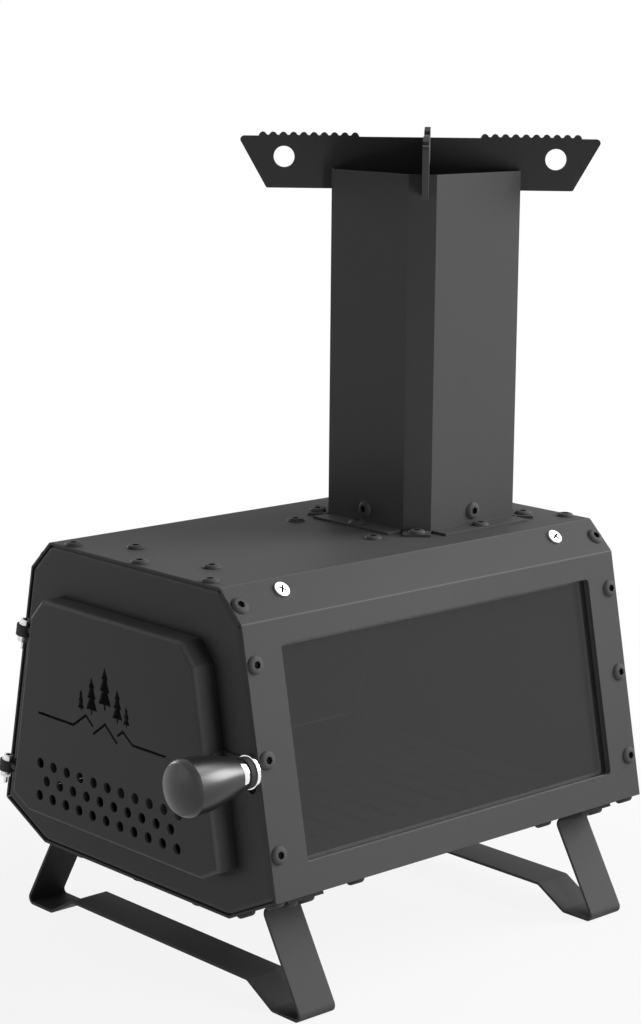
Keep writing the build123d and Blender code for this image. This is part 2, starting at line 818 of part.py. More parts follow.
# Latch bracket: a plate behind the knob, folded onto the door's right wall
bracket_front = front - bracket_stand - bracket_sheet
right_wall_x = door_x + side_at(door_corners, knob_z)
door_right_wall = Plane(
    origin=(right_wall_x, door_front, knob_z), x_dir=(0, 1, 0), z_dir=(-wall_rise, 0, wall_run)
)
with BuildPart() as latch_bracket:
    with BuildSketch(across(bracket_front)):
        with Locations((knob_x, knob_z)):
            Circle(bracket_half)
        with Locations(((knob_x + right_wall_x - bracket_half) / 2, knob_z)):
            Rectangle(knob_x - right_wall_x + bracket_half, 2 * bracket_half)
        with Locations((knob_x, knob_z)):
            Circle(shaft_radius + shaft_clearance, mode=Mode.SUBTRACT)
    extrude(amount=-bracket_sheet)
    split(bisect_by=door_right_wall, keep=Keep.TOP)
    with BuildSketch(door_right_wall):
        with Locations((bracket_front - door_front + bracket_sheet - bracket_tab / 2, 0)):
            Rectangle(bracket_tab, 2 * bracket_half)
    extrude(amount=bracket_sheet)
latch_bracket.part.label = "latch_bracket"
finished.append(latch_bracket.part)

# Knob stack on its shaft, from the bracket outwards
stack_y = bracket_front - washer_gap
for name, radius, thickness in (
    ("knob_washer", washer_radius, washer_thickness),
    ("knob_spacer", spacer_radius, spacer_thickness),
    ("knob_collar", collar_radius, collar_thickness),
):
    with BuildPart() as stacked_ring:
        with BuildSketch(across(stack_y)):
            with Locations((knob_x, knob_z)):
                Circle(radius)
                Circle(shaft_radius + knob_fit, mode=Mode.SUBTRACT)
        extrude(amount=thickness)
    stacked_ring.part.label = name
    finished.append(stacked_ring.part)
    stack_y -= thickness

cap_y = knob_crown - knob_length
rim_y = cap_y + knob_rim_length
with BuildPart() as knob_handle:
    with BuildSketch(Plane(origin=(knob_x, stack_y, knob_z), x_dir=(1, 0, 0), z_dir=(0, 0, 1))):
        with BuildLine():
            Line((0, 0), (knob_neck_radius, 0))
            Spline(
                (knob_neck_radius, 0),
                (knob_radius, rim_y),
                tangents=[(knob_neck_lean, -1.0), (knob_rim_lean, -1.0)],
            )
            ThreePointArc(
                (knob_radius, rim_y),
                (knob_radius - knob_rim_step + knob_rim_bulge, (rim_y + cap_y) / 2 - knob_rim_bulge / 2),
                (knob_radius - knob_rim_step, cap_y),
            )
            TangentArc((0, -knob_length), (knob_radius - knob_rim_step, cap_y), tangent=(1, 0))
            Line((0, -knob_length), (0, 0))
        make_face()
    revolve(axis=Axis((knob_x, stack_y, knob_z), (0, 1, 0)))
    with BuildSketch(across(stack_y)):
        with Locations((knob_x, knob_z)):
            Circle(shaft_radius + knob_fit)
    extrude(amount=knob_bore_depth, mode=Mode.SUBTRACT)
knob_handle.part.label = "knob_handle"
finished.append(knob_handle.part)

tongue_y = front + sheet + tongue_stand
with BuildPart() as latch_shaft:
    with BuildSketch(across(tongue_y + tongue_thickness)):
        with Locations((knob_x, knob_z)):
            Circle(shaft_radius)
    extrude(amount=tongue_y + tongue_thickness - stack_y + knob_bore_depth)
    with BuildSketch(across(tongue_y)):
        with Locations((knob_x, knob_z - slot_reach)):
            Circle(shaft_radius)
        with Locations((knob_x, knob_z - slot_reach / 2)):
            Rectangle(2 * shaft_radius, slot_reach)
    extrude(amount=-tongue_thickness)
latch_shaft.part.label = "latch_shaft"
finished.append(latch_shaft.part)

# Legs: one strap each, folded from flange to flange. The strut's outer face starts on the
# lower chamfer and runs down tangent to the bend of the foot
flange_line = inward_line(waist, base_corner, -leg_thickness)
strut_top_x, strut_top_z = along(waist, base_corner, lower_length - strut_row)
toe_x = foot_half - foot_bend
toe_reach = hypot(toe_x - strut_top_x, strut_top_z - foot_bend)
strut_lean = atan2(strut_top_z - foot_bend, toe_x - strut_top_x) - asin(foot_bend / toe_reach)
foot_corner = (strut_top_x + strut_top_z / tan(strut_lean), 0.0)
fold = crossing((foot_corner, heading(foot_corner, (strut_top_x, strut_top_z))), flange_line)
flange_run, flange_rise = heading(base_corner, waist)
leg_right = [
    (fold[0] + flange_run * leg_flange_length, fold[1] + flange_rise * leg_flange_length),
    fold,
    foot_corner,
    (foot_inner_half, 0.0),
    (bar_half, bar_z),
]
bend_radii = [flange_bend - leg_thickness, foot_bend, toe_bend, toe_bend - leg_thickness]
for name, start_y in zip(("leg_front", "leg_rear"), leg_fronts):
    with BuildPart() as leg:
        with BuildSketch(across(start_y)):
            with BuildLine():
                FilletPolyline(*leg_right, *mirrored(leg_right), radius=bend_radii + bend_radii[::-1])
                offset(amount=leg_thickness, side=Side.RIGHT)
            make_face()
        extrude(amount=-leg_width)
        with Locations(*leg_spots):
            Hole(thread_radius + hole_clearance, depth=drill)
        with BuildSketch(Plane((0, start_y + leg_width / 2, fold[1]))):
            with Locations((fold[0], 0), (-fold[0], 0)):
                Rectangle(leg_thickness + leg_slot_width, leg_slot_length)
        extrude(amount=flange_bend, both=True, mode=Mode.SUBTRACT)
    leg.part.label = name
    finished.append(leg.part)

# Chimney: a folded tube with cut corners and a row of tabs round its foot
inner_ring = chimney_ring(chimney_sheet)
with BuildPart() as chimney_tube:
    with BuildSketch(Plane((chimney_x, chimney_y, top_z))):
        Polygon(*outer_ring, align=None)
        Polygon(*inner_ring, align=None, mode=Mode.SUBTRACT)
    extrude(amount=chimney_height)
    with BuildSketch(Plane((chimney_x, chimney_y, top_z))):
        for a, b in ring_sides:
            run, rise = heading(a, b)
            tab_corners = [
                a,
                b,
                (b[0] + rise * tab_width, b[1] - run * tab_width),
                (a[0] + rise * tab_width, a[1] - run * tab_width),
            ]
            Polygon(*tab_corners, align=None)
        with Locations(*outer_ring):
            Circle(tab_relief_radius, mode=Mode.SUBTRACT)
        Polygon(*inner_ring, align=None, mode=Mode.SUBTRACT)
    extrude(amount=tab_thickness)
    with BuildSketch(Plane((chimney_x, chimney_y, chimney_top_z))):
        for angle in (45, 135):
            Rectangle(2 * plate_tip_half, plate_thickness + 2 * plate_clearance, rotation=angle)
    extrude(amount=-notch_depth, mode=Mode.SUBTRACT)
    with Locations(*tab_spots, *sleeve_spots):
        Hole(thread_radius + hole_clearance, depth=drill)
chimney_tube.part.label = "chimney_tube"
finished.append(chimney_tube.part)

# Flue sleeve, inside the chimney foot and through the top of the firebox
with BuildPart() as flue_sleeve:
    with BuildSketch(Plane((chimney_x, chimney_y, top_z - sleeve_below))):
        Polygon(*inner_ring, align=None)
        Polygon(*chimney_ring(chimney_sheet + sleeve_sheet), align=None, mode=Mode.SUBTRACT)
    extrude(amount=sleeve_below + sleeve_above)
    with Locations(*sleeve_spots):
        Hole(thread_radius + hole_clearance, depth=drill)
flue_sleeve.part.label = "flue_sleeve"
finished.append(flue_sleeve.part)

# Cross plates, halved into each other on the diagonals of the chimney. The lower one sits a
# little to the left and front of the crossing
halving_z = (plate_top_z + plate_bottom_z) / 2
join_z = plate_top_z + wave_trough + (1 - crest_share) * (wave_crest - wave_trough)
half_crest = crest_share * wave_pitch / 2
wave_start = wave_end - (wave_count - 1) * wave_pitch
for name, angle, cut_side, shift in (
    ("lower_cross_plate", 45, 1, lower_plate_shift),
    ("upper_cross_plate", 135, -1, 0.0),
):
    turn = radians(angle)
    plate_plane = Plane(
        origin=(chimney_x, chimney_y, 0), x_dir=(cos(turn), sin(turn), 0), z_dir=(sin(turn), -cos(turn), 0)
    )
    with BuildPart() as cross_plate:
        with BuildSketch(plate_plane):
            with BuildLine():
                Polyline(
                    (-plate_tip_half - shift, plate_top_z),
                    (-plate_bottom_half - shift, plate_bottom_z),
                    (plate_bottom_half - shift, plate_bottom_z),
                    (plate_tip_half - shift, plate_top_z),
                    close=True,
                )
            make_face()
            fillet(vertices().group_by(Axis.Y)[-1], radius=plate_tip_radius)
            fillet(vertices().group_by(Axis.Y)[0], radius=plate_bottom_radius)
            for side in (1, -1):
                with BuildLine():
                    inner_x = wave_start - half_crest
                    outer_x = wave_end + half_crest
                    edge = [
                        (inner_x, join_z),
                        (inner_x - wave_ramp, plate_top_z),
                        (inner_x - wave_ramp, plate_top_z - wave_pitch),
                        (outer_x + wave_ramp, plate_top_z - wave_pitch),
                        (outer_x + wave_ramp, plate_top_z),
                        (outer_x, join_z),
                    ]
                    Polyline(*[(side * x - shift, z) for x, z in edge])
                    for number in range(wave_count):
                        crest_x = wave_start + number * wave_pitch
                        arcs = [(crest_x, half_crest, plate_top_z + wave_crest)]
                        if number < wave_count - 1:
                            trough_x = crest_x + wave_pitch / 2
                            arcs.append((trough_x, wave_pitch / 2 - half_crest, plate_top_z + wave_trough))
                        for middle, half, z in arcs:
                            ThreePointArc(
                                (side * (middle - half) - shift, join_z),
                                (side * middle - shift, z),
                                (side * (middle + half) - shift, join_z),
                            )
                make_face()
            hole_z = plate_top_z - plate_hole_drop
            with Locations((-plate_hole_half - shift, hole_z), (plate_hole_half - shift, hole_z)):
                Circle(plate_hole_radius, mode=Mode.SUBTRACT)
            with Locations((0, halving_z + cut_side * (halving_z - plate_clearance / 2))):
                Rectangle(plate_thickness + 2 * plate_clearance, 2 * halving_z, mode=Mode.SUBTRACT)
        extrude(amount=plate_thickness / 2, both=True)
    cross_plate.part.label = name
    finished.append(cross_plate.part)

# Screws and nuts, one node for each row of the same kind
fastener_rows = [
    ("side_screws_right", side_spots[1], screw_kinds["panel"]),
    ("side_screws_left", side_spots[-1], screw_kinds["panel"]),
    ("chamfer_screws", chamfer_spots, screw_kinds["panel"]),
    ("top_screws", top_spots, screw_kinds["panel"]),
    ("base_screws", base_spots, screw_kinds["panel"]),
    ("lower_screws", lower_spots, screw_kinds["panel"]),
    ("rail_screws", rail_spots, screw_kinds["rail"]),
    ("tab_screws", tab_spots, screw_kinds["tab"]),
    ("baffle_screws", baffle_spots, screw_kinds["baffle"]),
    ("leg_screws", leg_spots, screw_kinds["leg"]),
    ("sleeve_screws", sleeve_spots, screw_kinds["sleeve"]),
    ("carrier_screws", carrier_spots, flat_screw.part),
    ("panel_nuts", panel_spots, nut_kinds["panel"]),
    ("rail_nuts", rail_spots, nut_kinds["rail"]),
    ("tab_nuts", tab_spots, nut_kinds["tab"]),
    ("baffle_nuts", baffle_spots, nut_kinds["baffle"]),
    ("leg_nuts", leg_spots, nut_kinds["leg"]),
    ("sleeve_nuts", sleeve_spots, nut_kinds["sleeve"]),
    ("carrier_nuts", carrier_spots, flat_nut.part),
]
for name, spots, shape in fastener_rows:
    with BuildPart() as fastener_row:
        with Locations(*spots):
            add(shape)
    fastener_row.part.label = name
    finished.append(fastener_row.part)

for piece in finished:
    export_step(piece, "parts/" + piece.label + ".step")
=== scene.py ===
import math

import bmesh
import bpy
import numpy as np
from mathutils import Matrix, Vector


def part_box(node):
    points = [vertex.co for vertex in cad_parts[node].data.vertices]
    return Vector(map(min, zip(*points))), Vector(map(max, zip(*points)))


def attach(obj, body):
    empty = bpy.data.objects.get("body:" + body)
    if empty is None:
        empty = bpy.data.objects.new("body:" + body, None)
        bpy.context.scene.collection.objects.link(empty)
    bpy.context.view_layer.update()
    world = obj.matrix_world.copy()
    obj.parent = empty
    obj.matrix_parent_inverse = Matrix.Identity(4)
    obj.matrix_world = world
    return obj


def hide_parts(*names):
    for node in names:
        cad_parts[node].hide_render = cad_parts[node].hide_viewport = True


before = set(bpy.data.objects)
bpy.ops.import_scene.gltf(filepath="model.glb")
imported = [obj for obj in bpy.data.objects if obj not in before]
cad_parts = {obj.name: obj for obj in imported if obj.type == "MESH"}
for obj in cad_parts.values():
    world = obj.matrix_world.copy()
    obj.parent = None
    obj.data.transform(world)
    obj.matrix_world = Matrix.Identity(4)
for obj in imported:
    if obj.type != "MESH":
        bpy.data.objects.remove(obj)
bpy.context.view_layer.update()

bl_info = {
    "name": "Rocket stove dresser",
    "version": (1, 0, 0),
    "blender": (4, 5, 0),
    "location": "3D View > Sidebar > Stove",
    "description": "Dresses a steel camp stove with its coatings, glass and fine parts",
    "category": "Object",
}


class StoveFinishes(bpy.types.PropertyGroup):
    """Colours and surface values of the stove's finishes."""

    coat_colour: bpy.props.FloatVectorProperty(
        name="Powder coat", description="Colour of the powder coated sheet",
        subtype="COLOR", size=3, min=0.0, max=1.0, default=(0.060, 0.060, 0.061),
    )
    coat_grain: bpy.props.FloatProperty(
        name="Coat grain", description="Size of one dimple in the powder coat",
        subtype="DISTANCE", unit="LENGTH", default=0.0011,
    )
    coat_roughness: bpy.props.FloatProperty(
        name="Coat roughness", description="How dull the powder coat is",
        subtype="FACTOR", min=0.0, max=1.0, default=0.62,
    )
    # The bevel radius also sets how wide the painted highlight along cut edges is
    edge_round: bpy.props.FloatProperty(
        name="Edge rounding", description="How far the coating rounds a cut edge of the sheet",
        subtype="DISTANCE", unit="LENGTH", default=0.0005,
    )
    # Strength of the painted highlight along the folds
    fold_highlight_strength: bpy.props.FloatProperty(
        name="Fold lightness",
        description="How much lighter the thin coating looks along the folds",
        subtype="FACTOR", min=0.0, max=1.0, default=0.6,
    )
    screw_colour: bpy.props.FloatVectorProperty(
        name="Screw coat", description="Colour of the coated screw heads",
        subtype="COLOR", size=3, min=0.0, max=1.0, default=(0.065, 0.065, 0.066),
    )
    knob_colour: bpy.props.FloatVectorProperty(
        name="Knob", description="Colour of the satin knob",
        subtype="COLOR", size=3, min=0.0, max=1.0, default=(0.009, 0.009, 0.0095),
    )
    glass_colour: bpy.props.FloatVectorProperty(
        name="Glass", description="Tint of the window glass",
        subtype="COLOR", size=3, min=0.0, max=1.0, default=(0.026, 0.026, 0.027),
    )
    glass_cover: bpy.props.FloatProperty(
        name="Glass cover", description="How much the tinted glass hides of what lies behind it",
        subtype="FACTOR", min=0.0, max=1.0, default=0.5,
    )
    zinc_colour: bpy.props.FloatVectorProperty(
        name="Zinc", description="Colour of the zinc plated hardware",
        subtype="COLOR", size=3, min=0.0, max=1.0, default=(0.72, 0.72, 0.71),
    )
    steel_colour: bpy.props.FloatVectorProperty(
        name="Bare steel", description="Colour of the uncoated inner sheet",
        subtype="COLOR", size=3, min=0.0, max=1.0, default=(0.25, 0.245, 0.24),
    )
    bright_colour: bpy.props.FloatVectorProperty(
        name="Window screws", description="Colour of the bright screws of the window",
        subtype="COLOR", size=3, min=0.0, max=1.0, default=(0.92, 0.92, 0.91),
    )
    chrome_colour: bpy.props.FloatVectorProperty(
        name="Chrome", description="Colour of the bright rings behind the knob",
        subtype="COLOR", size=3, min=0.0, max=1.0, default=(0.93, 0.93, 0.93),
    )
    ring_colour: bpy.props.FloatVectorProperty(
        name="Dark ring", description="Colour of the dark ring behind the knob",
        subtype="COLOR", size=3, min=0.0, max=1.0, default=(0.045, 0.045, 0.046),
    )
    nut_colour: bpy.props.FloatVectorProperty(
        name="Inner nuts", description="Colour of the sooted nuts inside the stove",
        subtype="COLOR", size=3, min=0.0, max=1.0, default=(0.10, 0.10, 0.098),
    )


class StoveScrews(bpy.types.PropertyGroup):
    """Sizes of the screws, nuts and rings."""

    head_radius: bpy.props.FloatProperty(
        name="Head radius", description="Radius of a domed screw head",
        subtype="DISTANCE", unit="LENGTH", default=0.0070,
    )
    head_height: bpy.props.FloatProperty(
        name="Head height", description="Height of a domed screw head",
        subtype="DISTANCE", unit="LENGTH", default=0.0026,
    )
    head_lip: bpy.props.FloatProperty(
        name="Head lip", description="Height of the upright edge under the dome",
        subtype="DISTANCE", unit="LENGTH", default=0.0006,
    )
    head_land: bpy.props.FloatProperty(
        name="Head land", description="Radius of the flat round the socket",
        subtype="DISTANCE", unit="LENGTH", default=0.0036,
    )
    socket_half: bpy.props.FloatProperty(
        name="Socket", description="Half the width across the flats of the socket",
        subtype="DISTANCE", unit="LENGTH", default=0.0024,
    )
    socket_depth: bpy.props.FloatProperty(
        name="Socket depth", description="Depth of the socket",
        subtype="DISTANCE", unit="LENGTH", default=0.0021,
    )
    thread_radius: bpy.props.FloatProperty(
        name="Thread radius", description="Outer radius of the screw thread",
        subtype="DISTANCE", unit="LENGTH", default=0.0030,
    )
    thread_pitch: bpy.props.FloatProperty(
        name="Thread pitch", description="Distance between two turns of the thread",
        subtype="DISTANCE", unit="LENGTH", default=0.0010,
    )
    edge_softness: bpy.props.FloatProperty(
        name="Edge softness", description="Rounding of the edges of nuts and rings",
        subtype="DISTANCE", unit="LENGTH", default=0.0005,
    )
    window_head_radius: bpy.props.FloatProperty(
        name="Window screw head", description="Radius of the head of a window screw",
        subtype="DISTANCE", unit="LENGTH", default=0.0064,
    )
    window_thread_radius: bpy.props.FloatProperty(
        name="Window screw thread", description="Outer radius of a window screw's thread",
        subtype="DISTANCE", unit="LENGTH", default=0.0020,
    )
    pin_head_radius: bpy.props.FloatProperty(
        name="Hinge pin head", description="Radius of the head of a hinge pin",
        subtype="DISTANCE", unit="LENGTH", default=0.0047,
    )
    pin_thread_radius: bpy.props.FloatProperty(
        name="Hinge pin thread", description="Outer radius of a hinge pin's thread",
        subtype="DISTANCE", unit="LENGTH", default=0.0020,
    )
    pin_nut_half: bpy.props.FloatProperty(
        name="Hinge nut", description="Half the width across the flats of a hinge nut",
        subtype="DISTANCE", unit="LENGTH", default=0.0041,
    )
    pin_nut_bore: bpy.props.FloatProperty(
        name="Hinge nut bore", description="Radius of the bore of a hinge nut",
        subtype="DISTANCE", unit="LENGTH", default=0.00202,
    )
    ring_bore: bpy.props.FloatProperty(
        name="Ring bore", description="Radius of the bore of the rings behind the knob",
        subtype="DISTANCE", unit="LENGTH", default=0.00292,
    )


class StoveStage(bpy.types.PropertyGroup):
    """Camera, floor and lamps."""

    camera_place: bpy.props.FloatVectorProperty(
        name="Camera", description="Place of the camera",
        subtype="XYZ", size=3, default=(1.4400, -1.2895, 0.7222),
    )
    camera_turn: bpy.props.FloatProperty(
        name="Turn", description="Direction of the camera round the stove",
        subtype="ANGLE", default=math.radians(47.618),
    )
    camera_rise: bpy.props.FloatProperty(
        name="Rise", description="How steeply the camera looks down",
        subtype="ANGLE", default=math.radians(11.2007),
    )
    camera_roll: bpy.props.FloatProperty(
        name="Roll", description="Tilt of the camera about its own line of sight",
        subtype="ANGLE", default=math.radians(0.5433),
    )
    camera_lens: bpy.props.FloatProperty(
        name="Lens", description="Focal length in millimetres on a 36 mm sensor",
        min=10.0, max=300.0, default=87.1,
    )
    floor_colour: bpy.props.FloatVectorProperty(
        name="Floor", description="Colour of the floor",
        subtype="COLOR", size=3, min=0.0, max=1.0, default=(0.50, 0.50, 0.50),
    )
    floor_white: bpy.props.FloatProperty(
        name="Floor white", description="Share of plain white that the camera sees in the floor",
        subtype="FACTOR", min=0.0, max=1.0, default=0.88,
    )
    floor_shade_reach: bpy.props.FloatProperty(
        name="Shade reach", description="How far from the stove the floor shows its shadow",
        subtype="DISTANCE", unit="LENGTH", default=0.75,
    )
    world_strength: bpy.props.FloatProperty(
        name="Room light", description="Strength of the even light from all round",
        min=0.0, max=5.0, default=0.03,
    )
    key_power: bpy.props.FloatProperty(
        name="Key lamp", description="Power of the large soft lamp at the right rear",
        min=0.0, default=76.0,
    )
    high_power: bpy.props.FloatProperty(
        name="High lamp", description="Power of the soft lamp high at the rear",
        min=0.0, default=26.0,
    )
    door_power: bpy.props.FloatProperty(
        name="Door lamp", description="Power of the small lamp in front of the door",
        min=0.0, default=0.7,
    )
    low_power: bpy.props.FloatProperty(
        name="Low lamp", description="Power of the low strip in front of the door",
        min=0.0, default=2.4,
    )
    side_power: bpy.props.FloatProperty(
        name="Side lamp", description="Power of the narrow lamp near the right side",
        min=0.0, default=1.6,
    )
    left_power: bpy.props.FloatProperty(
        name="Left lamp", description="Power of the soft lamp on the left",
        min=0.0, default=26.0,
    )


class Wire:
    """A value, colour or vector on its way through a material's nodes."""

    def __init__(self, tree, socket=None):
        self.tree = tree
        self.socket = socket

    def node(self, kind, settings=None, inputs=None, output=0):
        """Adds a node of this kind, sets it up, joins its inputs and returns one output."""
        made = self.tree.nodes.new(kind)
        for name, value in (settings or {}).items():
            if name == "stops":
                ramp = made.color_ramp
                while len(ramp.elements) < len(value):
                    ramp.elements.new(0.5)
                for element, (place, colour) in zip(ramp.elements, value):
                    element.position = place
                    element.color = (*colour, 1.0)
            else:
                setattr(made, name, value)
        for key, value in (inputs or {}).items():
            target = made.inputs[key]
            if isinstance(value, Wire):
                self.tree.links.new(value.socket, target)
            else:
                target.default_value = value
        return Wire(self.tree, made.outputs[output])

    def maths(self, operation, first, second=None):
        inputs = {0: first}
        if second is not None:
            inputs[1] = second
        return self.node("ShaderNodeMath", {"operation": operation}, inputs)

    def __add__(self, other):
        return self.maths("ADD", self, other)

    __radd__ = __add__

    def __sub__(self, other):
        return self.maths("SUBTRACT", self, other)

    def __rsub__(self, other):
        return self.maths("SUBTRACT", other, self)

    def __mul__(self, other):
        return self.maths("MULTIPLY", self, other)

    __rmul__ = __mul__

    def __truediv__(self, other):
        return self.maths("DIVIDE", self, other)

    def clamp(self, low=0.0, high=1.0):
        return self.maths("MINIMUM", self.maths("MAXIMUM", self, low), high)

    def ramp(self, *stops):
        return self.node("ShaderNodeValToRGB", {"stops": stops}, {"Fac": self})

    def mix(self, first, second):
        """A colour between first and second by this value."""
        return self.node(
            "ShaderNodeMix", {"data_type": "RGBA"}, {0: self, 6: first, 7: second}, output=2
        )


def start_finish(name, **constants):
    """A new material: returns it, an empty wire, its shader node and the object coordinates."""
    material = bpy.data.materials.new(name)
    material.use_nodes = True
    tree = material.node_tree
    tree.nodes.clear()
    shader = tree.nodes.new("ShaderNodeBsdfPrincipled")
    out = tree.nodes.new("ShaderNodeOutputMaterial")
    tree.links.new(shader.outputs[0], out.inputs[0])
    for socket_name, value in constants.items():
        shader.inputs[socket_name.replace("_", " ")].default_value = value
    wire = Wire(tree)
    place = wire.node("ShaderNodeTexCoord", output=3)
    return material, wire, shader, place


def feed(wire, shader, **links):
    """Joins wires to the shader's sockets."""
    for socket_name, source in links.items():
        wire.tree.links.new(source.socket, shader.inputs[socket_name.replace("_", " ")])


def rgba(colour, scale=1.0):
    """A colour made darker or lighter, with the alpha that sockets need."""
    return (colour[0] * scale, colour[1] * scale, colour[2] * scale, 1.0)


def noise(wire, place, scale, detail, roughness, distortion=0.0):
    """Noise that stays with the piece; scale is its number of grains in a metre."""
    return wire.node(
        "ShaderNodeTexNoise", {"noise_dimensions": "3D"},
        {
            "Vector": place, "Scale": scale, "Detail": detail,
            "Roughness": roughness, "Distortion": distortion,
        },
    )


# Where the painted highlight line of a fold starts, as a share of its brightest middle
FOLD_HIGHLIGHT_START = 0.15
# How strong the painted highlight on the shell's coat is, by how far its surface looks sideways: 0
# on the top, the chamfers and the sides, 1 in the middle of the bends between them
SHELL_BEND_HIGHLIGHT_STOPS = [
    (0.0, 0.0), (0.04, 0.0), (0.35, 1.0), (0.66, 0.0), (0.72, 0.0), (0.86, 1.0), (0.965, 0.0),
]
# Painted highlight on rounded edges: how quickly it turns light, and how light at most
EDGE_HIGHLIGHT_GAIN = 3.2
EDGE_HIGHLIGHT_SHARE = 0.55
# The colour of the painted highlight on edges and folds, as a multiple of the coat's colour, and
# how far the plain colour strays to either side
HIGHLIGHT_LIFT = 2.4
COAT_STRAY = 0.10
# How far the roughness strays with the coat's grain, the plating's clouds and the wipe marks
GRAIN_GLOSS = 0.14
PLATE_CLOUD_GLOSS = 0.12
SMEAR_GLOSS = 0.10
# How far the cover of the glass strays with the wipe marks
SMEAR_COVER = 0.06


def cover_fold_highlight(facing):
    """Mask of the painted highlight where a dished cover folds from its face, which looks along Y,
    into its rim. The product is 1 where the surface is halfway round the fold and 0 on the face and
    the rim."""
    square = facing[1] * facing[1]
    return (square * (1.0 - square) * 4.0 - FOLD_HIGHLIGHT_START).clamp()


def shell_bend_highlight(facing):
    """Mask of the painted highlight where the shell bends from its top into the chamfers, and from
    these into its sides.
    """
    outward = facing[0].maths("ABSOLUTE", facing[0])
    return outward.ramp(*[(place, (level, level, level)) for place, level in SHELL_BEND_HIGHLIGHT_STOPS])


def powder_coat_with_painted_highlights(name, colour, props, folds=None):
    """Fine orange-peel powder coat, with a painted highlight that lightens its colour along rounded
    edges and, where a mask is given, along folds.
    """
    material, wire, shader, place = start_finish(name, IOR=1.5, Specular_IOR_Level=0.10)
    grain = noise(wire, place, scale=1.0 / props.coat_grain, detail=2.0, roughness=0.55)
    cloud = noise(wire, place, scale=9.0, detail=3.0, roughness=0.6)
    speck = noise(wire, place, scale=260.0, detail=2.0, roughness=0.7)
    rounded = wire.node("ShaderNodeBevel", {"samples": 6}, {"Radius": props.edge_round})
    true = wire.node("ShaderNodeNewGeometry", output=1)
    along = wire.node(
        "ShaderNodeVectorMath", {"operation": "DOT_PRODUCT"}, {0: rounded, 1: true}, output=1
    )
    # Painted highlight: a mask that rises where the rounded shading normal turns away from the true
    # surface, along the edges
    edge = ((1.0 - along) * EDGE_HIGHLIGHT_GAIN).clamp() * EDGE_HIGHLIGHT_SHARE
    # Painted highlight along folds, picked by which way the surface faces
    if folds:
        normal = wire.node("ShaderNodeTexCoord", output=1)
        parts = [
            wire.node("ShaderNodeSeparateXYZ", None, {0: normal}, output=axis)
            for axis in range(3)
        ]
        edge = (edge + folds(parts) * props.fold_highlight_strength).clamp()
    tone = (cloud * 0.5 + speck * 0.5).clamp()
    plain = tone.mix(rgba(colour, 1.0 - COAT_STRAY), rgba(colour, 1.0 + COAT_STRAY))
    # Painted highlight: the colour turns lighter under the edge and fold masks
    feed(wire, shader, Base_Color=edge.mix(plain, rgba(colour, HIGHLIGHT_LIFT)))
    dullness = grain * GRAIN_GLOSS + (props.coat_roughness - GRAIN_GLOSS / 2.0)
    feed(wire, shader, Roughness=dullness)
    bump = wire.node(
        "ShaderNodeBump", None,
        {"Strength": 0.16, "Distance": 0.00025, "Height": grain, "Normal": rounded},
    )
    feed(wire, shader, Normal=bump)
    return material


def window_glass_finish(props):
    """Tinted oven glass with a few faint wipe marks."""
    material, wire, shader, place = start_finish(
        "oven_glass", IOR=1.52, Specular_IOR_Level=0.5, Base_Color=rgba(props.glass_colour),
    )
    smear = noise(wire, place, scale=22.0, detail=4.0, roughness=0.6, distortion=0.8)
    feed(wire, shader, Roughness=(smear * SMEAR_GLOSS).clamp(0.02, 0.12))
    feed(wire, shader, Alpha=smear * SMEAR_COVER + (props.glass_cover - SMEAR_COVER / 2.0))
    return material


def plated(name, colour, roughness, brushed=0.0):
    """Bright plated or bare metal with fine lines and small changes of gloss."""
    material, wire, shader, place = start_finish(name, Metallic=1.0)
    cloud = noise(wire, place, scale=120.0, detail=3.0, roughness=0.6)
    stretched = wire.node(
        "ShaderNodeVectorMath", {"operation": "MULTIPLY"}, {0: place, 1: (90.0, 90.0, 2600.0)}
    )
    lines = noise(wire, stretched, scale=1.0, detail=3.0, roughness=0.7)
    feed(wire, shader, Base_Color=cloud.mix(rgba(colour, 0.88), rgba(colour, 1.06)))
    dullness = cloud * PLATE_CLOUD_GLOSS + lines * brushed + (roughness - PLATE_CLOUD_GLOSS / 2.0)
    feed(wire, shader, Roughness=dullness.clamp(0.03, 1.0))
    bump = wire.node(
        "ShaderNodeBump", None, {"Strength": 0.1, "Distance": 0.0001, "Height": lines}
    )
    feed(wire, shader, Normal=bump)
    return material


def satin_knob(props):
    """Smooth satin knob."""
    colour = props.knob_colour
    material, wire, shader, place = start_finish("satin_knob", IOR=1.5, Specular_IOR_Level=0.5)
    grain = noise(wire, place, scale=1500.0, detail=2.0, roughness=0.5)
    cloud = noise(wire, place, scale=30.0, detail=2.0, roughness=0.5)
    feed(wire, shader, Base_Color=cloud.mix(rgba(colour, 0.94), rgba(colour, 1.06)))
    feed(wire, shader, Roughness=grain * 0.04 + 0.29)
    bump = wire.node(
        "ShaderNodeBump", None, {"Strength": 0.02, "Distance": 0.0001, "Height": grain}
    )
    feed(wire, shader, Normal=bump)
    return material


def woven_gasket():
    """Dark woven glass-fibre tape."""
    material, wire, shader, place = start_finish("woven_gasket", Sheen_Weight=0.3)
    weave = wire.node(
        "ShaderNodeTexWave", {"wave_type": "BANDS", "bands_direction": "DIAGONAL"},
        {"Vector": place, "Scale": 420.0, "Distortion": 1.2, "Detail": 1.0},
        output=1,
    )
    feed(wire, shader, Base_Color=weave.mix((0.006, 0.006, 0.006, 1.0), (0.02, 0.02, 0.02, 1.0)))
    feed(wire, shader, Roughness=weave * 0.1 + 0.82)
    bump = wire.node(
        "ShaderNodeBump", None, {"Strength": 0.5, "Distance": 0.0004, "Height": weave}
    )
    feed(wire, shader, Normal=bump)
    return material


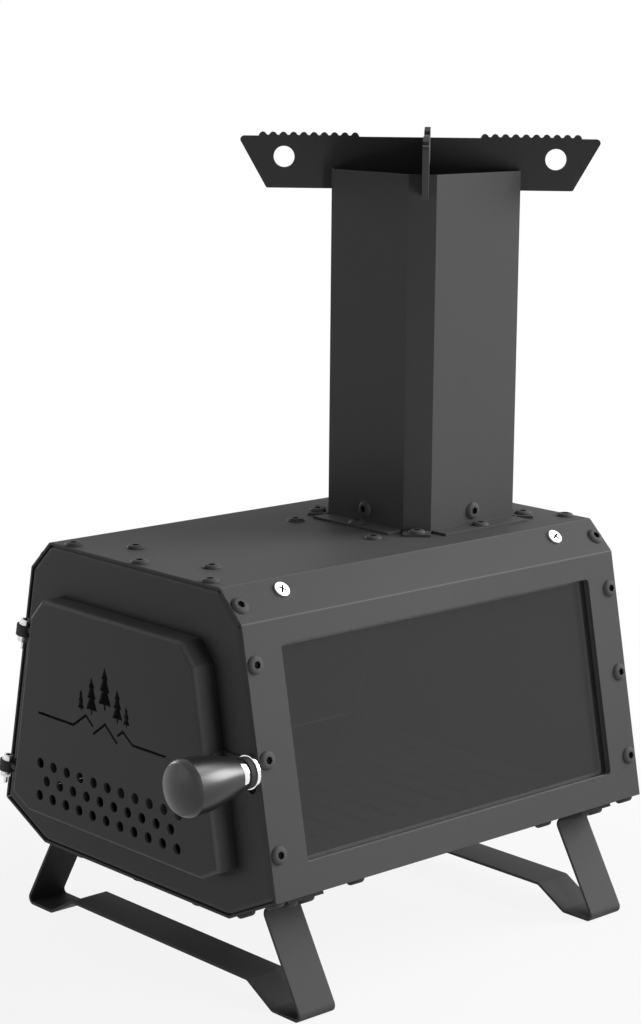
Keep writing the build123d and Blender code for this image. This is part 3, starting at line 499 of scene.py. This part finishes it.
def painted_shade_black(name):
    """Nearly black painted shade, for the bottoms of sockets and recesses; the latch shaft is given
    the same near black.
    """
    material, wire, shader, place = start_finish(name, IOR=1.5, Specular_IOR_Level=0.1)
    dark_speckle = noise(wire, place, scale=900.0, detail=2.0, roughness=0.6)
    # Painted shade: a near-black colour with a faint speckle
    feed(wire, shader, Base_Color=dark_speckle.mix((0.002, 0.002, 0.002, 1.0), (0.006, 0.006, 0.006, 1.0)))
    feed(wire, shader, Roughness=dark_speckle * 0.2 + 0.6)
    return material


AROUND = 48
ANGLES = [2.0 * math.pi * step / AROUND for step in range(AROUND)]
# The cross recess: half the width of an arm as a share of its length; the flat round it, its
# mouth, its wall and its root as shares of the head's radius; and its depths
CROSS_ARM_SHARE = 0.21
CROSS_LAND, CROSS_MOUTH, CROSS_WALL, CROSS_ROOT = 0.70, 0.62, 0.60, 0.40
CROSS_WALL_DEPTH, CROSS_DEPTH, CROSS_TIP_DEPTH = 0.0005, 0.0013, 0.0015
# The hinge pin's socket: half its width as a share of the head's radius, and its depths
CAP_SOCKET_SHARE = 0.375
CAP_SOCKET_DEPTH, CAP_SOCKET_TIP = 0.0022, 0.0024
# How far heads are rounded: a share of the window screw's height and of the pin's radius
CROSS_HEAD_SOFT, CAP_HEAD_SOFT = 0.4, 0.35
# Bevels of heads and sockets, and how much a socket narrows down to its bottom and its tip
HEAD_CHAMFER = 0.0002
SOCKET_CHAMFER = 0.0003
SOCKET_TAPER = 0.97
SOCKET_TIP_SHARE = 0.4
# Bands of a dome, and how far it swells beyond a cone
DOME_STEPS = 8
DOME_SWELL = 0.6
# Threads: the core's share of the radius, the bevel of the tip as a share of its length, and
# the pitches of the window screws and hinge pins as shares of the coated screws' pitch
THREAD_CORE = 0.9
THREAD_TIP_SHARE = 0.6
CROSS_PITCH_SHARE, CAP_PITCH_SHARE = 0.7, 0.8
# Steps of the quarter rounds of heads and rings, and the reach of a nut's flat faces
QUARTER_LEANS = (0.25, 0.5, 0.75, 1.0)
RING_LEANS = (0.0, 0.33, 0.67, 1.0)
NUT_FACE_SHARE = 0.98
# Edges that bend more than this stay sharp
SHARP_ANGLE = math.radians(38.0)
# CAD points nearer than this are one point, and points beyond this share are on a head's rim
WELD_DISTANCE = 1e-6
RIM_SHARE = 0.9


def circle(angle):
    """Reach of a round outline in this direction."""
    return 1.0


def hexagon(angle):
    """Reach of a hexagon whose flats are at distance 1."""
    return 1.0 / math.cos((angle + math.pi / 6) % (math.pi / 3) - math.pi / 6)


def cross(angle):
    """Reach of a cross recess whose arms are 1 long."""
    off = abs((angle + math.pi / 4) % (math.pi / 2) - math.pi / 4)
    return 1.0 if off < 1e-6 else min(1.0 / math.cos(off), CROSS_ARM_SHARE / math.sin(off))


def standing(point, axis, turn=0.0):
    """A frame at this point whose Z axis points along this direction."""
    upright = Vector(axis).to_track_quat("Z", "Y").to_matrix().to_4x4()
    return Matrix.Translation(Vector(point)) @ upright @ Matrix.Rotation(turn, 4, "Z")


def add_turned(form, rings, place, painted_shade_steps=0, closed=False):
    """Adds a form turned round the local Z axis. Each ring is an outline, a size and a height; the
    last bands of faces, as many as asked for, take the second material, which on screws is the
    socket's near-black painted shade."""
    loops = []
    for outline, size, height in rings:
        if size == 0.0:
            loops.append([form.verts.new(place @ Vector((0.0, 0.0, height)))])
            continue
        loop = []
        for angle in ANGLES:
            reach = size * outline(angle)
            spot = Vector((reach * math.cos(angle), reach * math.sin(angle), height))
            loop.append(form.verts.new(place @ spot))
        loops.append(loop)
    bands = list(zip(loops, loops[1:]))
    if closed:
        bands.append((loops[-1], loops[0]))
    for number, (lower, upper) in enumerate(bands):
        for step in range(AROUND):
            after = (step + 1) % AROUND
            corners = [
                lower[step % len(lower)], lower[after % len(lower)],
                upper[after % len(upper)], upper[step % len(upper)],
            ]
            face = form.faces.new(list(dict.fromkeys(corners)))
            face.smooth = True
            face.material_index = 1 if number >= len(bands) - painted_shade_steps else 0


def place_piece(form, name, body, materials, replaced):
    """Turns the finished form into a piece that rides on a body in place of a CAD node."""
    mesh = bpy.data.meshes.new(name)
    form.to_mesh(mesh)
    form.free()
    mesh.set_sharp_from_angle(angle=SHARP_ANGLE)
    for material in materials:
        mesh.materials.append(material)
    piece = bpy.data.objects.new(name, mesh)
    bpy.context.scene.collection.objects.link(piece)
    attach(piece, body)
    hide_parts(replaced)
    return piece


def fastener_places(node):
    """For each loose solid of a CAD node: the middle of the head's seat, the direction that the
    head faces, how far the solid reaches below the seat and how far above it."""
    joined = bmesh.new()
    joined.from_mesh(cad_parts[node].data)
    bmesh.ops.remove_doubles(joined, verts=joined.verts, dist=WELD_DISTANCE)
    joined.faces.ensure_lookup_table()
    joined.faces.index_update()
    seen = set()
    places = []
    # Each pass of this loop gathers the faces of one loose solid
    for first in joined.faces:
        if first.index in seen:
            continue
        seen.add(first.index)
        found = [first]
        for face in found:
            for edge in face.edges:
                for other in edge.link_faces:
                    if other.index not in seen:
                        seen.add(other.index)
                        found.append(other)
        # The faces look evenly in all directions round the axis, so it is the odd one out
        spread = np.zeros((3, 3))
        for face in found:
            spread += face.calc_area() * np.outer(face.normal, face.normal)
        values, vectors = np.linalg.eigh(spread)
        pick = 2 if values[2] - values[1] > values[1] - values[0] else 0
        axis = vectors[:, pick]
        sides = np.delete(vectors, pick, axis=1)
        points = np.array([corner.co for face in found for corner in face.verts])
        flat = points @ sides
        middle = (flat.min(0) + flat.max(0)) / 2.0
        reach = np.hypot(*(flat - middle).T)
        height = points @ axis
        # The widest points are the head's rim, and the axis is turned to face out of it
        rim = reach > RIM_SHARE * reach.max()
        if height[rim].mean() < (height.min() + height.max()) / 2.0:
            axis, height = -axis, -height
        seat = height[rim].min()
        centre = sides @ middle + axis * seat
        places.append((Vector(centre), Vector(axis), seat - height.min(), height.max() - seat))
    joined.free()
    return places


def thread_rings(radius, pitch, tail):
    """Rings of a threaded tail, from its tip up to just under the head."""
    tip = min(pitch, tail / 4.0)
    rings = [
        (circle, 0.0, -tail), (circle, radius - tip * THREAD_TIP_SHARE, -tail),
        (circle, radius, tip - tail),
    ]
    turns = int((tail - tip - pitch) / pitch)
    for turn in range(turns):
        height = tip - tail + (turn + 0.5) * pitch
        rings.append((circle, radius * THREAD_CORE, height))
        rings.append((circle, radius, height + pitch / 2.0))
    rings.append((circle, radius, 0.0))
    return rings


def rounded_head(radius, rise, soft):
    """Rings of a round head with a rounded upper edge, from its seat to its top."""
    rings = [
        (circle, radius - HEAD_CHAMFER, 0.0), (circle, radius, HEAD_CHAMFER),
        (circle, radius, rise - soft),
    ]
    for share in QUARTER_LEANS:
        lean = share * math.pi / 2.0
        level = rise - soft + soft * math.sin(lean)
        rings.append((circle, radius - soft * (1.0 - math.cos(lean)), level))
    return rings


def add_domed_screw(form, place, tail, sizes):
    """A screw with a low domed head and a hexagon socket."""
    rings = thread_rings(sizes.thread_radius, sizes.thread_pitch, tail)
    rim, height, lip, land = sizes.head_radius, sizes.head_height, sizes.head_lip, sizes.head_land
    rings += [(circle, rim - HEAD_CHAMFER, 0.0), (circle, rim, HEAD_CHAMFER), (circle, rim, lip)]
    for step in range(1, DOME_STEPS + 1):
        share = step / DOME_STEPS
        swell = DOME_SWELL * share * (1.0 - share)
        radius = rim + (land - rim) * share + swell * (height - lip)
        level = lip + (height - lip) * share + swell * (rim - land)
        rings.append((circle, radius, level))
    half, depth = sizes.socket_half, sizes.socket_depth
    rings += [
        (hexagon, half + SOCKET_CHAMFER, height), (hexagon, half, height - SOCKET_CHAMFER),
        (hexagon, half * SOCKET_TAPER, height - depth),
        (circle, half * SOCKET_TIP_SHARE, height - depth),
        (circle, 0.0, height - depth - SOCKET_CHAMFER),
    ]
    add_turned(form, rings, place, painted_shade_steps=4)


def add_cross_screw(form, place, tail, rise, sizes):
    """A flat screw head with a cross recess."""
    radius = sizes.window_head_radius
    pitch = sizes.thread_pitch * CROSS_PITCH_SHARE
    rings = thread_rings(sizes.window_thread_radius, pitch, tail)
    rings += rounded_head(radius, rise, rise * CROSS_HEAD_SOFT)
    rings += [
        (circle, radius * CROSS_LAND, rise), (cross, radius * CROSS_MOUTH, rise),
        (cross, radius * CROSS_WALL, rise - CROSS_WALL_DEPTH),
        (cross, radius * CROSS_ROOT, rise - CROSS_DEPTH), (circle, 0.0, rise - CROSS_TIP_DEPTH),
    ]
    add_turned(form, rings, place, painted_shade_steps=3)


def add_cap_screw(form, place, tail, rise, sizes):
    """A tall round head with a rounded top and a hexagon socket, as on the hinge pins."""
    radius = sizes.pin_head_radius
    rings = thread_rings(sizes.pin_thread_radius, sizes.thread_pitch * CAP_PITCH_SHARE, tail)
    rings += rounded_head(radius, rise, radius * CAP_HEAD_SOFT)
    socket = radius * CAP_SOCKET_SHARE
    rings += [
        (hexagon, socket + HEAD_CHAMFER, rise), (hexagon, socket, rise - SOCKET_CHAMFER),
        (hexagon, socket * SOCKET_TAPER, rise - CAP_SOCKET_DEPTH),
        (circle, 0.0, rise - CAP_SOCKET_TIP),
    ]
    add_turned(form, rings, place, painted_shade_steps=3)


def add_ring(form, place, outline, radius, bore, thickness, softness):
    """A ring or nut with softened edges, standing on its lower face."""
    rings = [(circle, bore, 0.0)]
    if outline is hexagon:
        face = radius * NUT_FACE_SHARE
        rings += [(circle, face, 0.0), (hexagon, radius, softness)]
        rings += [(hexagon, radius, thickness - softness), (circle, face, thickness)]
    else:
        leans = [share * math.pi / 2.0 for share in RING_LEANS]
        for lean in leans:
            level = softness * (1.0 - math.cos(lean))
            rings.append((circle, radius - softness * (1.0 - math.sin(lean)), level))
        for lean in leans:
            level = thickness - softness * (1.0 - math.sin(lean))
            rings.append((circle, radius - softness * (1.0 - math.cos(lean)), level))
    rings.append((circle, bore, thickness))
    add_turned(form, rings, place, closed=True)


def coat_nodes(material, names):
    """Gives CAD pieces this material in all their slots."""
    for name in names:
        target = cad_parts[name]
        if not target.material_slots:
            target.data.materials.append(material)
        for place in target.material_slots:
            place.material = material


COVER_NODES = ["front_panel", "rear_panel", "door_pan"]
SHEET_NODES = [
    "base_pan", "leg_front", "leg_rear", "chimney_tube", "lower_cross_plate", "upper_cross_plate",
    "latch_bracket", "body_ear_upper", "body_ear_lower", "door_ear_upper", "door_ear_lower",
]
DOMED_SCREW_NODES = [
    "side_screws_right", "side_screws_left", "chamfer_screws", "top_screws", "base_screws",
    "lower_screws", "rail_screws", "tab_screws", "baffle_screws", "leg_screws", "sleeve_screws",
]
INNER_NUT_NODES = [
    "panel_nuts", "rail_nuts", "tab_nuts", "baffle_nuts", "leg_nuts", "sleeve_nuts", "carrier_nuts",
]
STEEL_NODES = [
    "window_carrier", "heat_baffle", "baffle_spacers", "grate_rail_right", "grate_rail_left",
    "fire_grate", "flue_sleeve",
]
# How far fasteners are turned about their own axes: the screws in degrees, each one further
# than the last, and the hinge pins and nuts in radians
SCREW_TURN_STEP = 37.0
CROSS_FIRST_TURN = 30.0
CROSS_TURN_STEP = 25.0
PIN_TURN = 0.3
NUT_TURN = 0.2


class STOVE_OT_coat_sheet(bpy.types.Operator):
    """Powder coats the folded sheet, the legs, the chimney and the cross plates, with painted
    highlights along edges and folds
    """

    bl_idname = "stove.coat_sheet"
    bl_label = "Coat the sheet metal"

    def execute(self, context):
        props = context.scene.stove_finishes
        colour = props.coat_colour
        coat_nodes(powder_coat_with_painted_highlights("powder_coat_with_painted_highlights", colour, props), SHEET_NODES)
        coat_nodes(powder_coat_with_painted_highlights("cover_coat_fold_highlight", colour, props, cover_fold_highlight), COVER_NODES)
        coat_nodes(powder_coat_with_painted_highlights("shell_coat_bend_highlight", colour, props, shell_bend_highlight), ["body_shell"])
        return {"FINISHED"}


class STOVE_OT_fit_domed_screws(bpy.types.Operator):
    """Fits a domed screw at every coated screw of the stove, the bottom of its socket painted near
    black as shade
    """

    bl_idname = "stove.fit_domed_screws"
    bl_label = "Fit the domed screws"

    def execute(self, context):
        props = context.scene.stove_finishes
        coat = powder_coat_with_painted_highlights("screw_coat", props.screw_colour, props)
        # Painted shade: the socket's walls and bottom take a near-black colour
        recess = painted_shade_black("socket_painted_shade")
        for node in DOMED_SCREW_NODES:
            form = bmesh.new()
            for number, (point, axis, tail, _) in enumerate(fastener_places(node)):
                place = standing(point, axis, math.radians(SCREW_TURN_STEP * number))
                add_domed_screw(form, place, tail, context.scene.stove_screws)
            place_piece(form, "domed_" + node, "stove", [coat, recess], node)
        return {"FINISHED"}


class STOVE_OT_fit_carrier_screws(bpy.types.Operator):
    """Fits the two bright cross-headed screws of the window carrier"""

    bl_idname = "stove.fit_carrier_screws"
    bl_label = "Fit the window screws"

    def execute(self, context):
        props = context.scene.stove_finishes
        bright = plated("bright_screw", props.bright_colour, roughness=0.32)
        form = bmesh.new()
        for number, (point, axis, tail, rise) in enumerate(fastener_places("carrier_screws")):
            turn = math.radians(CROSS_FIRST_TURN + CROSS_TURN_STEP * number)
            place = standing(point, axis, turn)
            add_cross_screw(form, place, tail, rise, context.scene.stove_screws)
        # Painted shade: the cross recess takes a near-black colour
        materials = [bright, painted_shade_black("cross_painted_shade")]
        place_piece(form, "window_screws", "stove", materials, "carrier_screws")
        return {"FINISHED"}


class STOVE_OT_fit_hinge_hardware(bpy.types.Operator):
    """Fits the plated hinge pins with their nuts, and plates the nuts inside"""

    bl_idname = "stove.fit_hinge_hardware"
    bl_label = "Fit the hinge pins"

    def execute(self, context):
        props = context.scene.stove_finishes
        sizes = context.scene.stove_screws
        zinc = plated("zinc_plate", props.zinc_colour, roughness=0.24)
        coat_nodes(plated("sooted_nut", props.nut_colour, roughness=0.5), INNER_NUT_NODES)
        pins = bmesh.new()
        pin_axis = None
        for point, axis, tail, rise in fastener_places("hinge_pins"):
            pin_axis = axis
            add_cap_screw(pins, standing(point, axis, PIN_TURN), tail, rise, sizes)
        # Painted shade: the pin's socket takes a near-black colour
        materials = [zinc, painted_shade_black("pin_socket_painted_shade")]
        place_piece(pins, "hinge_cap_pins", "stove", materials, "hinge_pins")
        nuts = bmesh.new()
        for point, axis, tail, rise in fastener_places("hinge_nuts"):
            if axis.dot(pin_axis) < 0.0:
                point = point + axis * rise
                axis = -axis
            add_ring(
                nuts, standing(point, axis, NUT_TURN), hexagon,
                sizes.pin_nut_half, sizes.pin_nut_bore, rise, sizes.edge_softness,
            )
        place_piece(nuts, "hinge_hex_nuts", "stove", [zinc], "hinge_nuts")
        return {"FINISHED"}


class STOVE_OT_fit_knob(bpy.types.Operator):
    """Finishes the satin knob and fits the bright and dark rings behind it"""

    bl_idname = "stove.fit_knob"
    bl_label = "Fit the knob"

    def execute(self, context):
        props = context.scene.stove_finishes
        sizes = context.scene.stove_screws
        coat_nodes(satin_knob(props), ["knob_handle"])
        chrome = plated("chrome_ring", props.chrome_colour, roughness=0.1)
        rubber = powder_coat_with_painted_highlights("dark_ring", props.ring_colour, props)
        # The latch shaft takes the same near black
        coat_nodes(painted_shade_black("near_black_shaft"), ["latch_shaft"])
        for node, name, material, slot in (
            ("knob_collar", "knob_bright_collar", chrome, "bright_chrome"),
            ("knob_spacer", "knob_dark_spacer", rubber, "dark_ring"),
            ("knob_washer", "knob_bright_washer", chrome, "bright_chrome"),
        ):
            low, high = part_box(node)
            middle = Vector(((low.x + high.x) / 2.0, high.y, (low.z + high.z) / 2.0))
            form = bmesh.new()
            add_ring(
                form, standing(middle, (0.0, -1.0, 0.0)), circle,
                (high.x - low.x) / 2.0, sizes.ring_bore, high.y - low.y, sizes.edge_softness,
            )
            place_piece(form, name, "latch", [material], node)
        return {"FINISHED"}


class STOVE_OT_finish_inside(bpy.types.Operator):
    """Finishes the bare steel inside the firebox, the glass and its gasket"""

    bl_idname = "stove.finish_inside"
    bl_label = "Finish the window and the inside"

    def execute(self, context):
        props = context.scene.stove_finishes
        steel = plated("bare_steel", props.steel_colour, roughness=0.5, brushed=0.15)
        coat_nodes(steel, STEEL_NODES)
        coat_nodes(window_glass_finish(props), ["window_glass"])
        coat_nodes(woven_gasket(), ["window_gasket"])
        return {"FINISHED"}


# What the lamps look at
STOVE_MIDDLE = (0.0, 0.03, 0.3)
DOOR_MIDDLE = (0.0, -0.2, 0.2)
# Distance of the large lamps
LAMP_REACH = 2.6
# Half the side of the floor, and the share of the shade's reach where it starts to fade
FLOOR_HALF = 30.0
FADE_START = 0.45
# Width of the camera's sensor in millimetres
SENSOR_WIDTH = 36.0
WHITE = (1.0, 1.0, 1.0, 1.0)


def soft_lamp(name, place, target, size, power, mirrored=True):
    """A soft rectangular lamp that looks at a point; shiny pieces show it only if mirrored."""
    data = bpy.data.lights.new(name, "AREA")
    data.shape = "RECTANGLE"
    data.size, data.size_y = size
    data.energy = power
    lamp = bpy.data.objects.new(name, data)
    bpy.context.scene.collection.objects.link(lamp)
    lamp.location = place
    lamp.rotation_euler = (Vector(target) - Vector(place)).to_track_quat("-Z", "Y").to_euler()
    lamp.visible_camera = False
    lamp.visible_glossy = mirrored


def swung(turn, rise):
    """A lamp's place round the stove, in degrees: turned from +X towards +Y, and raised."""
    turn, rise = math.radians(turn), math.radians(rise)
    flat = LAMP_REACH * math.cos(rise)
    return (
        STOVE_MIDDLE[0] + flat * math.cos(turn),
        STOVE_MIDDLE[1] + flat * math.sin(turn),
        STOVE_MIDDLE[2] + LAMP_REACH * math.sin(rise),
    )


def seen_rays(wire):
    """1 for rays that show a surface to the viewer, straight, mirrored or through glass."""
    rays = [
        wire.node("ShaderNodeLightPath", output=name)
        for name in ("Is Camera Ray", "Is Glossy Ray", "Is Transmission Ray")
    ]
    return (rays[0] + rays[1] + rays[2]).clamp()


def light_room(scene, stage):
    """A white room that the viewer sees bright, but that gives only a little light."""
    world = bpy.data.worlds.new("white_room")
    scene.world = world
    world.use_nodes = True
    tree = world.node_tree
    tree.nodes.clear()
    wire = Wire(tree)
    strength = seen_rays(wire) * (1.0 - stage.world_strength) + stage.world_strength
    room = wire.node("ShaderNodeBackground", None, {"Color": WHITE, "Strength": strength})
    out = tree.nodes.new("ShaderNodeOutputWorld")
    tree.links.new(room.socket, out.inputs[0])


def lay_floor(scene, stage):
    """A floor that shows the shadow near the stove and fades to plain white further off."""
    mesh = bpy.data.meshes.new("floor")
    half = FLOOR_HALF
    corners = [(-half, -half, 0), (half, -half, 0), (half, half, 0), (-half, half, 0)]
    mesh.from_pydata(corners, [], [(0, 1, 2, 3)])
    floor = bpy.data.objects.new("floor", mesh)
    scene.collection.objects.link(floor)
    material = bpy.data.materials.new("floor_white")
    material.use_nodes = True
    tree = material.node_tree
    tree.nodes.clear()
    wire = Wire(tree)
    place = wire.node("ShaderNodeTexCoord", output=3)
    away = wire.node("ShaderNodeVectorMath", {"operation": "LENGTH"}, {0: place}, output=1)
    reach = stage.floor_shade_reach
    fade = ((away - reach * FADE_START) / (reach * (1.0 - FADE_START))).clamp()
    white = fade * (1.0 - stage.floor_white) + stage.floor_white
    paint = wire.node("ShaderNodeBsdfDiffuse", None, {"Color": rgba(stage.floor_colour)})
    glow = wire.node("ShaderNodeEmission", None, {"Color": WHITE, "Strength": 1.0})
    both = wire.node("ShaderNodeMixShader", None, {0: seen_rays(wire) * white, 1: paint, 2: glow})
    out = tree.nodes.new("ShaderNodeOutputMaterial")
    tree.links.new(both.socket, out.inputs[0])
    floor.data.materials.append(material)


def hang_lamps(stage):
    """Three large lamps round the stove and three small ones near its door and right side."""
    soft_lamp("key_lamp", swung(60.0, 20.0), STOVE_MIDDLE, (1.3, 1.2), stage.key_power)
    soft_lamp("high_lamp", swung(66.0, 52.0), STOVE_MIDDLE, (1.2, 1.2), stage.high_power)
    soft_lamp("door_lamp", (-0.35, -1.1, 0.5), DOOR_MIDDLE, (0.6, 0.6), stage.door_power)
    soft_lamp(
        "low_lamp", (-0.42, -1.0, 0.12), DOOR_MIDDLE, (0.8, 0.2), stage.low_power, mirrored=False
    )
    soft_lamp(
        "side_lamp", (0.62, -0.04, 0.38), (0.15, -0.12, 0.24), (0.14, 0.45), stage.side_power
    )
    soft_lamp("left_lamp", swung(180.0, 12.0), STOVE_MIDDLE, (1.4, 1.0), stage.left_power)


def aim_camera(scene, stage):
    """The camera, from its place and its turn, rise and roll."""
    data = bpy.data.cameras.new("photo_camera")
    camera = bpy.data.objects.new("photo_camera", data)
    scene.collection.objects.link(camera)
    turn, rise, roll = stage.camera_turn, stage.camera_rise, stage.camera_roll
    flat = math.cos(rise)
    back = Vector((math.sin(turn) * flat, -math.cos(turn) * flat, math.sin(rise)))
    right = Vector((math.cos(turn), math.sin(turn), 0.0))
    up = back.cross(right)
    image_right = right * math.cos(roll) + up * math.sin(roll)
    image_up = up * math.cos(roll) - right * math.sin(roll)
    facing = Matrix((image_right, image_up, back)).transposed().to_4x4()
    camera.matrix_world = Matrix.Translation(Vector(stage.camera_place)) @ facing
    data.lens = stage.camera_lens
    data.sensor_width = SENSOR_WIDTH
    data.sensor_fit = "AUTO"
    data.clip_end = 100.0
    scene.camera = camera


class STOVE_OT_set_stage(bpy.types.Operator):
    """Sets the floor, the room light, the lamps and the camera"""

    bl_idname = "stove.set_stage"
    bl_label = "Set the stage"

    def execute(self, context):
        scene = context.scene
        scene.view_settings.view_transform = "Standard"
        light_room(scene, scene.stove_stage)
        lay_floor(scene, scene.stove_stage)
        hang_lamps(scene.stove_stage)
        aim_camera(scene, scene.stove_stage)
        return {"FINISHED"}


class STOVE_PT_sidebar(bpy.types.Panel):
    """Lists the steps that dress the stove"""

    bl_idname = "STOVE_PT_sidebar"
    bl_label = "Rocket stove"
    bl_space_type = "VIEW_3D"
    bl_region_type = "UI"
    bl_category = "Stove"

    def draw(self, context):
        layout = self.layout
        for step in STEPS:
            layout.operator(step.bl_idname)
        scene = context.scene
        for group in (scene.stove_finishes, scene.stove_screws, scene.stove_stage):
            box = layout.box()
            for name in group.__annotations__:
                box.prop(group, name)


STEPS = [
    STOVE_OT_set_stage,
    STOVE_OT_coat_sheet,
    STOVE_OT_fit_domed_screws,
    STOVE_OT_fit_carrier_screws,
    STOVE_OT_fit_hinge_hardware,
    STOVE_OT_fit_knob,
    STOVE_OT_finish_inside,
]
CLASSES = [StoveFinishes, StoveScrews, StoveStage, *STEPS, STOVE_PT_sidebar]


def register():
    for item in CLASSES:
        bpy.utils.register_class(item)
    bpy.types.Scene.stove_finishes = bpy.props.PointerProperty(type=StoveFinishes)
    bpy.types.Scene.stove_screws = bpy.props.PointerProperty(type=StoveScrews)
    bpy.types.Scene.stove_stage = bpy.props.PointerProperty(type=StoveStage)


def unregister():
    del bpy.types.Scene.stove_stage
    del bpy.types.Scene.stove_screws
    del bpy.types.Scene.stove_finishes
    for item in reversed(CLASSES):
        bpy.utils.unregister_class(item)


def main():
    register()
    bpy.ops.stove.set_stage()
    bpy.ops.stove.coat_sheet()
    bpy.ops.stove.fit_domed_screws()
    bpy.ops.stove.fit_carrier_screws()
    bpy.ops.stove.fit_hinge_hardware()
    bpy.ops.stove.fit_knob()
    bpy.ops.stove.finish_inside()


if __name__ == "__main__":
    main()
